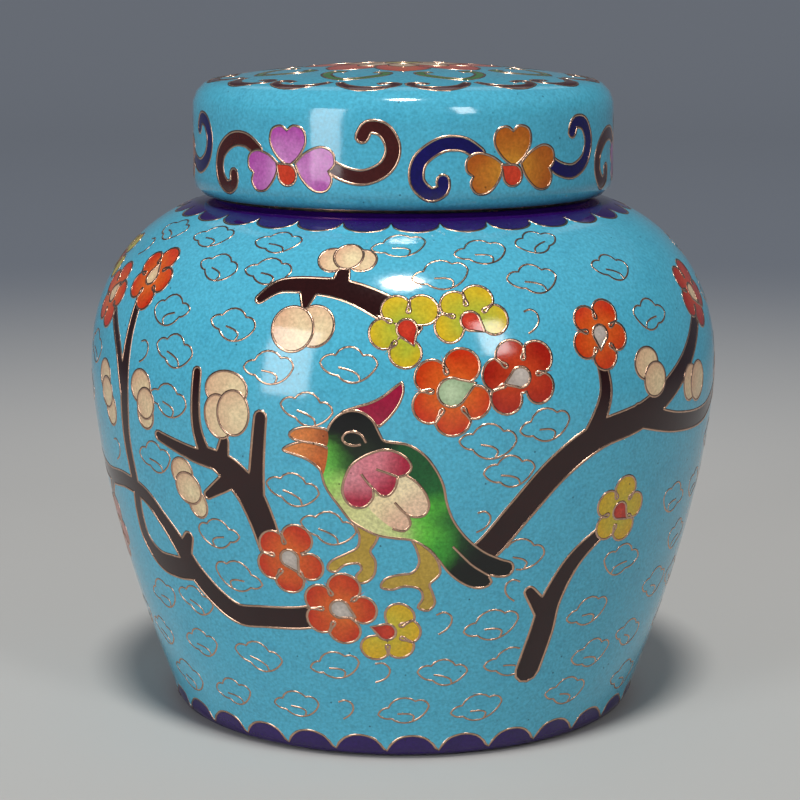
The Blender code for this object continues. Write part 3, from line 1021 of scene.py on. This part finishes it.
def flat_sheet(name, design, slots, copper_lengths):
    """Cuts the drawing into one flat mesh, with each cell's number, enamel, shade and tint on it."""
    wall = design.wall
    rows = max(2, round(wall.height / ROW_STEP))
    levels = [wall.height * row / rows for row in range(rows + 1)]
    near = near_tree([point for cell in design.cells for point in cell[0]])
    points = [Vector((x, 0.0)) for x in wall.columns]
    points += [Vector((wall.half, y)) for y in levels[1:]]
    points += [Vector((x, wall.height)) for x in reversed(wall.columns[:-1])]
    points += [Vector((-wall.half, y)) for y in reversed(levels[1:-1])]
    faces = [list(range(len(points)))]
    sources = [-1]
    for level in levels[1:-1]:
        for x in wall.columns[1:-1]:
            if near.find((x, level, 0.0))[2] > SEED_CLEARANCE:
                points.append(Vector((x, level)))
    for index, cell in enumerate(design.cells):
        for turn in (-1, 0, 1):
            outline = [Vector((point.x + turn * 2.0 * wall.half, point.y)) for point in cell[0]]
            reach = [point.x for point in outline]
            if max(reach) < SEAM_MARGIN - wall.half or min(reach) > wall.half - SEAM_MARGIN:
                continue
            faces.append(list(range(len(points), len(points) + len(outline))))
            points.extend(outline)
            sources.append(index)
    result = geometry.delaunay_2d_cdt(points, [], faces, 1, CUT_TOLERANCE)
    verts = list(result[0])
    polygons = []
    owners = []
    for polygon, found in zip(result[2], result[5]):
        if 0 in found:
            polygons.append(list(polygon))
            owners.append(max(sources[face] for face in found))
    plain_rows(wall, verts, polygons, owners)
    return sheet_mesh(name, design, slots, copper_lengths, verts, polygons, owners)


def plain_rows(wall, verts, polygons, owners):
    """Adds the undrawn stretches of the section, row by row, to the sheet."""
    levels = [length - wall.start for length in wall.lengths]
    width = len(wall.columns)
    for part in (levels[: len(wall.before)], levels[len(wall.before) + len(wall.drawn) - 2 :]):
        first = len(verts)
        for level in part:
            verts.extend(Vector((x, level)) for x in wall.columns)
        for row in range(len(part) - 1):
            for column in range(width - 1):
                corner = first + row * width + column
                polygons.append([corner, corner + 1, corner + width + 1, corner + width])
                owners.append(-1)


def store(mesh, name, kind, domain, field, values):
    """Keeps one value for each element of a mesh under a name."""
    mesh.attributes.new(name, kind, domain).data.foreach_set(field, values)


def sheet_mesh(name, design, slots, copper_lengths, verts, polygons, owners):
    """The sheet as a mesh, with the enamels that it uses as its slots."""
    mesh = bpy.data.meshes.new(name)
    mesh.from_pydata([(v.x * MM, v.y * MM, 0.0) for v in verts], [], polygons)
    used = {cell[1] for cell in design.cells} | {"turquoise", "lining"}
    order = [enamel for enamel in slots if enamel in used]
    for enamel in order:
        mesh.materials.append(slots[enamel])
    numbers = []
    enamels = []
    bare = []
    shades = []
    tints = []
    for polygon, owner in zip(polygons, owners):
        middle = sum(verts[vertex].y for vertex in polygon) / len(polygon)
        bare.append(owner < 0 and any(low < middle < high for low, high in copper_lengths))
        if owner < 0:
            numbers.append(0)
            enamels.append(order.index("turquoise" if 0.0 <= middle <= design.wall.height else "lining"))
            shades.extend([0.0] * len(polygon))
            tints.extend(WHITE * len(polygon))
            continue
        outline, enamel, number, shade, tint = design.cells[owner]
        numbers.append(number)
        enamels.append(order.index(enamel))
        for vertex in polygon:
            shades.append(shade(verts[vertex]) if shade else PLAIN_SHADE)
            tints.extend((*tint(verts[vertex]), 1.0) if tint else WHITE)
    store(mesh, "cell", "INT", "FACE", "value", numbers)
    store(mesh, "bare", "BOOLEAN", "FACE", "value", bare)
    store(mesh, "shade", "FLOAT", "CORNER", "value", shades)
    store(mesh, "tint", "FLOAT_COLOR", "CORNER", "color", tints)
    mesh.polygons.foreach_set("material_index", enamels)
    return mesh


def add_node(tree, kind, inputs=None, **settings):
    """Adds one node with its settings, feeds its inputs from values or sockets, and gives its outputs."""
    made = tree.nodes.new(kind)
    for name, value in settings.items():
        setattr(made, name, value)
    for key, value in (inputs or {}).items():
        for source in value if isinstance(value, list) else [value]:
            if isinstance(source, bpy.types.NodeSocket):
                tree.links.new(source, made.inputs[key])
            else:
                made.inputs[key].default_value = source
    return made.outputs


def new_tree(name, inputs, outputs):
    """A Geometry Nodes tree with named sockets, and the sockets of its two end nodes."""
    tree = bpy.data.node_groups.new(name, "GeometryNodeTree")
    for sockets, way in ((inputs, "INPUT"), (outputs, "OUTPUT")):
        for label, kind in sockets.items():
            tree.interface.new_socket(label, in_out=way, socket_type="NodeSocket" + kind)
    return tree, tree.nodes.new("NodeGroupInput").outputs, tree.nodes.new("NodeGroupOutput").inputs


def place_tree():
    """Where a point of the flat drawing lies on the turned wall, and which way is outwards there."""
    tree, given, result = new_tree(
        "Place on the Wall",
        {"Flat": "Vector", "Profile": "Object", "Girth Radius": "Float", "Start Length": "Float"},
        {"Position": "Vector", "Outward": "Vector", "Radius": "Float"},
    )
    flat = add_node(tree, "ShaderNodeSeparateXYZ", {0: given["Flat"]})
    angle = add_node(tree, "ShaderNodeMath", {0: flat["X"], 1: given["Girth Radius"]}, operation="DIVIDE")[0]
    length = add_node(tree, "ShaderNodeMath", {0: flat["Y"], 1: given["Start Length"]}, operation="ADD")[0]
    profile = add_node(tree, "GeometryNodeObjectInfo", {"Object": given["Profile"]})["Geometry"]
    sample = add_node(tree, "GeometryNodeSampleCurve", {"Curves": profile, "Length": length}, mode="LENGTH")
    place = add_node(tree, "ShaderNodeSeparateXYZ", {0: sample["Position"]})
    tangent = add_node(tree, "ShaderNodeSeparateXYZ", {0: sample["Tangent"]})
    sine = add_node(tree, "ShaderNodeMath", {0: angle}, operation="SINE")[0]
    cosine = add_node(tree, "ShaderNodeMath", {0: angle}, operation="COSINE")[0]
    back = add_node(tree, "ShaderNodeMath", {0: cosine, 1: -1.0}, operation="MULTIPLY")[0]
    down = add_node(tree, "ShaderNodeMath", {0: tangent["X"], 1: -1.0}, operation="MULTIPLY")[0]
    for label, reach, height in (("Position", place["X"], place["Z"]), ("Outward", tangent["Z"], down)):
        x = add_node(tree, "ShaderNodeMath", {0: reach, 1: sine}, operation="MULTIPLY")[0]
        y = add_node(tree, "ShaderNodeMath", {0: reach, 1: back}, operation="MULTIPLY")[0]
        combined = add_node(tree, "ShaderNodeCombineXYZ", {"X": x, "Y": y, "Z": height})[0]
        tree.links.new(combined, result[label])
    tree.links.new(place["X"], result["Radius"])
    return tree


def placed(tree, given, place):
    """Adds the placing group to a tree, fed with the drawing's own position."""
    inputs = {label: given[label] for label in ("Profile", "Girth Radius", "Start Length")}
    inputs["Flat"] = add_node(tree, "GeometryNodeInputPosition")[0]
    return add_node(tree, "GeometryNodeGroup", inputs, node_tree=place)


def finished(tree, given, result, surface, selection=True):
    """Ends a tree: smooth shading, real geometry and the copper where it belongs."""
    smooth = add_node(tree, "GeometryNodeSetShadeSmooth", {"Geometry": surface})[0]
    real = add_node(tree, "GeometryNodeRealizeInstances", {"Geometry": smooth})[0]
    inputs = {"Geometry": real, "Selection": selection, "Material": given["Copper"]}
    tree.links.new(add_node(tree, "GeometryNodeSetMaterial", inputs)[0], result["Geometry"])
    return tree


def sheet_tree(place):
    """Lays the flat sheet of cells on the turned wall and closes its seam and its poles."""
    inputs = {**WALL_INPUTS, "Seam Distance": "Float"}
    tree, given, result = new_tree("Enamel Sheet on the Wall", inputs, {"Geometry": "Geometry"})
    inputs = {"Geometry": given["Geometry"], "Position": placed(tree, given, place)["Position"]}
    moved = add_node(tree, "GeometryNodeSetPosition", inputs)[0]
    inputs = {"Geometry": moved, "Distance": given["Seam Distance"]}
    merged = add_node(tree, "GeometryNodeMergeByDistance", inputs)[0]
    bare = add_node(tree, "GeometryNodeInputNamedAttribute", {"Name": "bare"}, data_type="BOOLEAN")[0]
    return finished(tree, given, result, merged, bare)


def wire_tree(place):
    """Stands a flat wire on each boundary between cells, on each free line and on each cloud."""
    inputs = {**WALL_INPUTS, "Free Lines": "Object", "Cloud Points": "Object"}
    inputs.update({label: "Object" for label in CLOUD_SHAPES})
    inputs.update({"Wire Width": "Float", "Wire Rise": "Float", "Wire Depth": "Float"})
    tree, given, result = new_tree("Wires on the Wall", inputs, {"Geometry": "Geometry"})
    kinds = {"cell": "INT", "kind": "INT", "turn": "FLOAT", "side": "FLOAT", "size": "FLOAT"}
    kinds.update({"thickness": "FLOAT", "outward": "FLOAT_VECTOR"})
    own = {}
    for name, kind in kinds.items():
        own[name] = add_node(tree, "GeometryNodeInputNamedAttribute", {"Name": name}, data_type=kind)[0]
    shapes = {}
    for label in ("Free Lines", "Cloud Points", *CLOUD_SHAPES):
        shapes[label] = add_node(tree, "GeometryNodeObjectInfo", {"Object": given[label]})["Geometry"]
    edge = add_node(tree, "GeometryNodeMeshFaceSetBoundaries", {0: own["cell"]})[0]
    borders = add_node(tree, "GeometryNodeMeshToCurve", {"Mesh": given["Geometry"], "Selection": edge})[0]
    free = add_node(tree, "GeometryNodeMeshToCurve", {"Mesh": shapes["Free Lines"]})[0]
    radius = placed(tree, given, place)["Radius"]
    wide = add_node(tree, "ShaderNodeMath", {0: given["Girth Radius"], 1: radius}, operation="DIVIDE")[0]
    for factor in (own["side"], own["size"]):
        wide = add_node(tree, "ShaderNodeMath", {0: wide, 1: factor}, operation="MULTIPLY")[0]
    axis = add_node(tree, "ShaderNodeCombineXYZ", {"Z": own["turn"]})[0]
    # The last shape linked gets the first number
    last_first = [shapes[label] for label in reversed(CLOUD_SHAPES)]
    inputs = {
        "Points": add_node(tree, "GeometryNodeMeshToPoints", {"Mesh": shapes["Cloud Points"]})[0],
        "Instance": add_node(tree, "GeometryNodeGeometryToInstance", {0: last_first})[0],
        "Pick Instance": True,
        "Instance Index": own["kind"],
        "Rotation": add_node(tree, "FunctionNodeEulerToRotation", {0: axis})[0],
        "Scale": add_node(tree, "ShaderNodeCombineXYZ", {"X": wide, "Y": own["size"], "Z": 1.0})[0],
    }
    stamped = add_node(tree, "GeometryNodeInstanceOnPoints", inputs)[0]
    stamped = add_node(tree, "GeometryNodeRealizeInstances", {"Geometry": stamped})[0]
    inputs = {"Mesh": given["Geometry"], "Value": own["cell"]}
    here = add_node(tree, "GeometryNodeSampleNearestSurface", inputs, data_type="INT")["Value"]
    inputs = {"Geometry": stamped, "Selection": here}
    stamped = add_node(tree, "GeometryNodeDeleteGeometry", inputs, domain="POINT")[0]
    stamped = add_node(tree, "GeometryNodeMeshToCurve", {"Mesh": stamped})[0]
    marked = []
    for curves, share in ((borders, 1.0), (free, 1.0), (stamped, CLOUD_WIRE_SHARE)):
        inputs = {"Geometry": curves, "Name": "thickness", "Value": share}
        kept = add_node(tree, "GeometryNodeStoreNamedAttribute", inputs, data_type="FLOAT", domain="POINT")
        marked.append(kept[0])
    where = placed(tree, given, place)
    flat = add_node(tree, "GeometryNodeJoinGeometry", {0: marked})[0]
    inputs = {"Geometry": flat, "Name": "outward", "Value": where["Outward"]}
    kept = add_node(tree, "GeometryNodeStoreNamedAttribute", inputs, data_type="FLOAT_VECTOR", domain="POINT")
    moved = add_node(tree, "GeometryNodeSetPosition", {"Geometry": kept[0], "Position": where["Position"]})[0]
    inputs = {"Curve": moved, "Normal": own["outward"]}
    upright = add_node(tree, "GeometryNodeSetCurveNormal", inputs, mode="FREE")[0]
    bar = wire_profile(tree, given)
    inputs = {"Curve": upright, "Profile Curve": bar, "Scale": own["thickness"], "Fill Caps": True}
    return finished(tree, given, result, add_node(tree, "GeometryNodeCurveToMesh", inputs)[0])


def wire_profile(tree, given):
    """The wire's section: a bar sunk in the enamel, with its top a little proud."""
    both = {0: given["Wire Rise"], 1: given["Wire Depth"]}
    height = add_node(tree, "ShaderNodeMath", both, operation="ADD")[0]
    sizes = {"Width": height, "Height": given["Wire Width"]}
    bar = add_node(tree, "GeometryNodeCurvePrimitiveQuadrilateral", sizes)[0]
    fall = add_node(tree, "ShaderNodeMath", both, operation="SUBTRACT")[0]
    fall = add_node(tree, "ShaderNodeMath", {0: fall, 1: 0.5}, operation="MULTIPLY")[0]
    offset = add_node(tree, "ShaderNodeCombineXYZ", {"X": fall})[0]
    return add_node(tree, "GeometryNodeSetPosition", {"Geometry": bar, "Offset": offset})[0]


def linked(name, data):
    made = bpy.data.objects.new(name, data)
    bpy.context.scene.collection.objects.link(made)
    return made


def line_object(name, lines):
    """An object of bare edges along flat lines given in mm."""
    verts = []
    edges = []
    for line in lines:
        first = len(verts)
        verts.extend((point[0] * MM, point[1] * MM, 0.0) for point in line)
        edges.extend((first + step, first + step + 1) for step in range(len(line) - 1))
    mesh = bpy.data.meshes.new(name)
    mesh.from_pydata(verts, edges, [])
    return linked(name, mesh)


def profile_object(name, wall):
    curve = bpy.data.curves.new(name, "CURVE")
    curve.dimensions = "3D"
    spline = curve.splines.new("POLY")
    spline.points.add(len(wall.points) - 1)
    for point, (radius, height) in zip(spline.points, wall.points):
        point.co = (radius * MM, 0.0, height * MM, 1.0)
    return linked(name, curve)


def cloud_points(name, design):
    """The clouds' places, with each one's kind, turn, side and size."""
    chance = random.Random(TURN_SEED)
    mesh = bpy.data.meshes.new(name)
    girth = design.wall.girth
    found = design.clouds
    mesh.from_pydata([(math.radians(degrees) * girth * MM, up * MM, 0.0) for degrees, up, kind in found], [], [])
    store(mesh, "kind", "INT", "POINT", "value", [int(kind) for degrees, up, kind in found])
    turns = [math.radians(chance.uniform(-CLOUD_TURN, CLOUD_TURN)) for cloud in found]
    sides = [chance.choice(CLOUD_SIDES) for cloud in found]
    sizes = [chance.uniform(*CLOUD_SIZES) for cloud in found]
    for label, values in (("turn", turns), ("side", sides), ("size", sizes)):
        store(mesh, label, "FLOAT", "POINT", "value", values)
    return linked(name, mesh)


def made_by(tree, name, mesh, values):
    """Runs a tree on a mesh and keeps the result as a plain mesh object at the origin."""
    piece = linked(name, mesh)
    modifier = piece.modifiers.new(tree.name, "NODES")
    modifier.node_group = tree
    for item in tree.interface.items_tree:
        if item.item_type == "SOCKET" and item.in_out == "INPUT" and item.name in values:
            modifier[item.identifier] = values[item.name]
    graph = bpy.context.evaluated_depsgraph_get()
    evaluated = piece.evaluated_get(graph)
    result = bpy.data.meshes.new_from_object(evaluated, preserve_all_data_layers=True, depsgraph=graph)
    result.name = name
    piece.modifiers.clear()
    piece.data = result
    if not result.polygons:
        raise RuntimeError(f"{name} came out empty")
    return piece


def new_material(name):
    """A material with its tree, its shader's inputs and the piece's own coordinates."""
    material = bpy.data.materials.new(name)
    material.use_nodes = True
    tree = material.node_tree
    place = add_node(tree, "ShaderNodeTexCoord")["Object"]
    return material, tree, tree.nodes["Principled BSDF"].inputs, place


def enamel_material(name, light, deep, sizes):
    """Vitreous enamel, fired and polished: opaque glass with a soft grain of ground frit under a wet gloss."""
    material, tree, shader, place = new_material(name + " vitreous enamel")
    # Ground frit melts unevenly: a fine grain, a slow drift of tone and a faint ripple in the polish
    noises = []
    for share, detail, roughness in NOISES:
        inputs = {"Vector": place, "Scale": share / sizes.grain, "Detail": detail, "Roughness": roughness}
        noises.append(add_node(tree, "ShaderNodeTexNoise", inputs)["Fac"])
    grain, drift, ripple = noises
    if name == "painted":
        spread = PAINTED_SPREAD
        base = add_node(tree, "ShaderNodeAttribute", attribute_name="tint")["Color"]
    else:
        spread = FLECK_SPREAD
        shade = add_node(tree, "ShaderNodeAttribute", attribute_name="shade")["Fac"]
        inputs = {0: drift, 1: DRIFT_SHARE, 2: -DRIFT_SHARE / 2.0}
        wander = add_node(tree, "ShaderNodeMath", inputs, operation="MULTIPLY_ADD")[0]
        level = add_node(tree, "ShaderNodeMath", {0: shade, 1: wander}, operation="ADD", use_clamp=True)[0]
        inputs = {0: level, 6: (*light, 1.0), 7: (*deep, 1.0)}
        base = add_node(tree, "ShaderNodeMix", inputs, data_type="RGBA")[2]
    # Gas leaves pinholes, which show as small dark dots
    inputs = {"Vector": place, "Scale": 1.0 / sizes.pit_spacing}
    pits = add_node(tree, "ShaderNodeTexVoronoi", inputs)["Distance"]
    flecks = (grain, *FLECK_RANGE, 1.0 - spread, 1.0 + spread)
    for ranges in (flecks, (pits, *PIT_RANGE, PIT_DARKNESS, 1.0)):
        inputs = dict(zip(("Value", "From Min", "From Max", "To Min", "To Max"), ranges))
        factor = add_node(tree, "ShaderNodeMapRange", inputs)[0]
        base = add_node(tree, "ShaderNodeVectorMath", {0: base, "Scale": factor}, operation="SCALE")[0]
    tree.links.new(base, shader["Base Color"])
    inputs = {"Value": grain, "To Min": ENAMEL_ROUGHNESS[0], "To Max": ENAMEL_ROUGHNESS[1]}
    tree.links.new(add_node(tree, "ShaderNodeMapRange", inputs)[0], shader["Roughness"])
    inputs = {"Height": ripple, "Strength": RIPPLE_STRENGTH, "Distance": RIPPLE_HEIGHT * MM}
    tree.links.new(add_node(tree, "ShaderNodeBump", inputs)[0], shader["Normal"])
    shader["IOR"].default_value = GLASS_IOR
    return material


def copper_material(colour):
    """Gilt copper wire, ground flush and polished: fine scratches along a warm pink metal."""
    material, tree, shader, place = new_material("polished gilt copper")
    inputs = {"Vector": place, "Scale": WEAR_SCALE, "Detail": WEAR_DETAIL}
    wear = add_node(tree, "ShaderNodeTexNoise", inputs)["Fac"]
    deep = tuple(WORN_SHARE * value for value in colour)
    inputs = {0: wear, 6: (*deep, 1.0), 7: (*colour, 1.0)}
    tree.links.new(add_node(tree, "ShaderNodeMix", inputs, data_type="RGBA")[2], shader["Base Color"])
    inputs = {"Value": wear, "To Min": COPPER_ROUGHNESS[0], "To Max": COPPER_ROUGHNESS[1]}
    tree.links.new(add_node(tree, "ShaderNodeMapRange", inputs)[0], shader["Roughness"])
    shader["Metallic"].default_value = 1.0
    return material


def painted_pool_paper_material():
    """Matt studio paper with a painted pool of light: pale round the jar and a painted shade that greys it far
    off, which leaves the gloss less to reflect.
    """
    material, tree, shader, place = new_material("matt paper")
    distance = add_node(tree, "ShaderNodeVectorMath", {0: place}, operation="LENGTH")["Value"]
    inputs = {"Value": distance, "From Min": PAINTED_POOL_RADIUS * MM, "From Max": PAINTED_SHADE_RADIUS * MM}
    share = add_node(tree, "ShaderNodeMapRange", inputs, interpolation_type="SMOOTHSTEP")[0]
    inputs = {0: share, 6: (*linear(PAPER_HEX), 1.0), 7: (*linear(PAINTED_SHADE_HEX), 1.0)}
    tree.links.new(add_node(tree, "ShaderNodeMix", inputs, data_type="RGBA")[2], shader["Base Color"])
    shader["Roughness"].default_value = PAPER_ROUGHNESS
    return material


def materials():
    """All enamels by name, and the copper, made once."""
    colours = bpy.context.scene.ginger_jar_colours
    sizes = bpy.context.scene.ginger_jar_sizes
    enamels = {}
    for name in ENAMELS:
        found = bpy.data.materials.get(name + " vitreous enamel")
        tones = [tuple(getattr(colours, label)) for label in (name, name + "_deep")]
        enamels[name] = found or enamel_material(name, *tones, sizes)
    copper = bpy.data.materials.get("polished gilt copper") or copper_material(tuple(colours.copper))
    return enamels, copper


def dress(design, node, name, copper_lengths):
    """Makes a vessel's enamel and its wires from a drawing, in place of its plain solid."""
    sizes = bpy.context.scene.ginger_jar_sizes
    enamels, copper = materials()
    wall = design.wall
    helpers = {
        "Profile": profile_object(name + "_profile", wall),
        "Free Lines": line_object(name + "_lines", design.lines),
        "Cloud Points": cloud_points(name + "_points", design),
    }
    for label, shape in CLOUD_SHAPES.items():
        helpers[label] = line_object(label, [cloud_line(*shape)])
    values = {
        **helpers,
        "Girth Radius": wall.girth * MM,
        "Start Length": wall.start * MM,
        "Copper": copper,
        "Seam Distance": SEAM_DISTANCE * MM,
        "Wire Width": sizes.wire_width,
        "Wire Rise": sizes.wire_rise,
        "Wire Depth": sizes.wire_depth,
    }
    place = place_tree()
    sheet = flat_sheet(name + "_sheet", design, enamels, copper_lengths)
    wires = made_by(wire_tree(place), name + "_wires", sheet, values)
    skin = made_by(sheet_tree(place), name + "_enamel", sheet, values)
    for helper in helpers.values():
        bpy.data.objects.remove(helper, do_unlink=True)
    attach(skin, "root")
    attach(wires, "root")
    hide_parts(node)


class GINGERJAR_OT_jar(bpy.types.Operator):
    """Makes the enamelled jar with its wires, foot ring, neck and plain inside"""

    bl_idname = "gingerjar.jar"
    bl_label = "Enamelled Jar"

    def execute(self, context):
        design = jar_design()
        top = design.wall.height
        foot_ring = (-FOOT_RING_WIDTH, 0.0)
        neck = (top, top + NECK_TOP - SHOULDER_HEIGHT + 2.0 * NECK_WALL)
        dress(design, "jar_body", "jar", (foot_ring, neck))
        return {"FINISHED"}


class GINGERJAR_OT_lid(bpy.types.Operator):
    """Makes the enamelled lid with its wires, rim and plain inside"""

    bl_idname = "gingerjar.lid"
    bl_label = "Enamelled Lid"

    def execute(self, context):
        rim = (LIP_SETBACK - LID_WALL, 0.0)
        dress(lid_design(), "lid", "lid", (rim,))
        return {"FINISHED"}


def floor_mesh():
    """A round floor that curves up into a wall all round."""
    section = [(0.0, 0.0), (FLOOR_RADIUS, 0.0)]
    section += arc((FLOOR_RADIUS, COVE_RADIUS), (COVE_RADIUS, COVE_RADIUS), -90.0, 0.0, COVE_STEPS)[1:]
    section.append((FLOOR_RADIUS + COVE_RADIUS, WALL_HEIGHT))
    count = len(section)
    verts = []
    faces = []
    for step in range(FLOOR_SIDES):
        angle = 2.0 * math.pi * step / FLOOR_SIDES
        verts.extend((r * math.cos(angle) * MM, r * math.sin(angle) * MM, z * MM) for r, z in section)
        here = step * count
        there = (step + 1) % FLOOR_SIDES * count
        faces.append((here, here + 1, there + 1))
        faces.extend((here + k, here + k + 1, there + k + 1, there + k) for k in range(1, count - 1))
    mesh = bpy.data.meshes.new("floor")
    mesh.from_pydata(verts, [], faces)
    mesh.validate()
    mesh.shade_smooth()
    return mesh


def soft_box(name, azimuth, elevation, distance, width, height, power, colour):
    """A soft box that looks at the jar from a direction given in degrees, with lengths in mm."""
    data = bpy.data.lights.new(name, "AREA")
    data.shape = "RECTANGLE"
    data.size = width * MM
    data.size_y = height * MM
    data.energy = power
    data.color = colour
    side = math.radians(azimuth)
    flat = math.cos(math.radians(elevation)) * distance
    up = math.sin(math.radians(elevation)) * distance
    aim = Vector(BOX_AIM)
    place = Vector((math.sin(side) * flat, -math.cos(side) * flat, up)) + aim
    light = linked(name, data)
    light.location = place * MM
    light.visible_camera = False
    light.rotation_euler = (aim - place).to_track_quat("-Z", "Y").to_euler()


class GINGERJAR_OT_stage(bpy.types.Operator):
    """Makes the pale floor, the lights and the camera"""

    bl_idname = "gingerjar.stage"
    bl_label = "Stage, Lights and Camera"

    def execute(self, context):
        floor = linked("floor", floor_mesh())
        floor.data.materials.append(painted_pool_paper_material())
        world = bpy.data.worlds.new("studio")
        world.use_nodes = True
        background = world.node_tree.nodes["Background"].inputs
        background["Color"].default_value = (*linear(WORLD_HEX), 1.0)
        background["Strength"].default_value = WORLD_STRENGTH
        context.scene.world = world
        context.scene.view_settings.view_transform = "Standard"
        sun = bpy.data.lights.new("overhead lamp", "SUN")
        sun.energy = LAMP_STRENGTH
        sun.angle = math.radians(LAMP_SPREAD)
        sun.color = LAMP_COLOUR
        linked("overhead lamp", sun).rotation_euler = (math.radians(90.0 - LAMP_ELEVATION), 0.0, 0.0)
        for name, values in SOFT_BOXES.items():
            soft_box(name, *values)
        lens = bpy.data.cameras.new("camera")
        lens.lens = CAMERA_LENS
        lens.sensor_width = CAMERA_SENSOR
        camera = linked("camera", lens)
        camera.location = Vector(CAMERA_PLACE) * MM
        camera.rotation_euler = (math.radians(CAMERA_TILT), 0.0, 0.0)
        context.scene.camera = camera
        return {"FINISHED"}


class GINGERJAR_PT_panel(bpy.types.Panel):
    """Lists the jar's pieces in the sidebar"""

    bl_label = "Ginger Jar"
    bl_idname = "GINGERJAR_PT_panel"
    bl_space_type = "VIEW_3D"
    bl_region_type = "UI"
    bl_category = "Ginger Jar"

    def draw(self, context):
        for operator in OPERATORS:
            self.layout.operator(operator.bl_idname)
        for label in GingerJarSizes.__annotations__:
            self.layout.prop(context.scene.ginger_jar_sizes, label)
        for label in GingerJarColours.__annotations__:
            self.layout.prop(context.scene.ginger_jar_colours, label)


OPERATORS = (GINGERJAR_OT_jar, GINGERJAR_OT_lid, GINGERJAR_OT_stage)
CLASSES = (GingerJarSizes, GingerJarColours, *OPERATORS, GINGERJAR_PT_panel)


def register():
    for item in CLASSES:
        bpy.utils.register_class(item)
    bpy.types.Scene.ginger_jar_sizes = bpy.props.PointerProperty(type=GingerJarSizes)
    bpy.types.Scene.ginger_jar_colours = bpy.props.PointerProperty(type=GingerJarColours)


def unregister():
    del bpy.types.Scene.ginger_jar_colours
    del bpy.types.Scene.ginger_jar_sizes
    for item in reversed(CLASSES):
        bpy.utils.unregister_class(item)


def main():
    register()
    bpy.ops.gingerjar.jar()
    bpy.ops.gingerjar.lid()
    bpy.ops.gingerjar.stage()


if __name__ == "__main__":
    main()
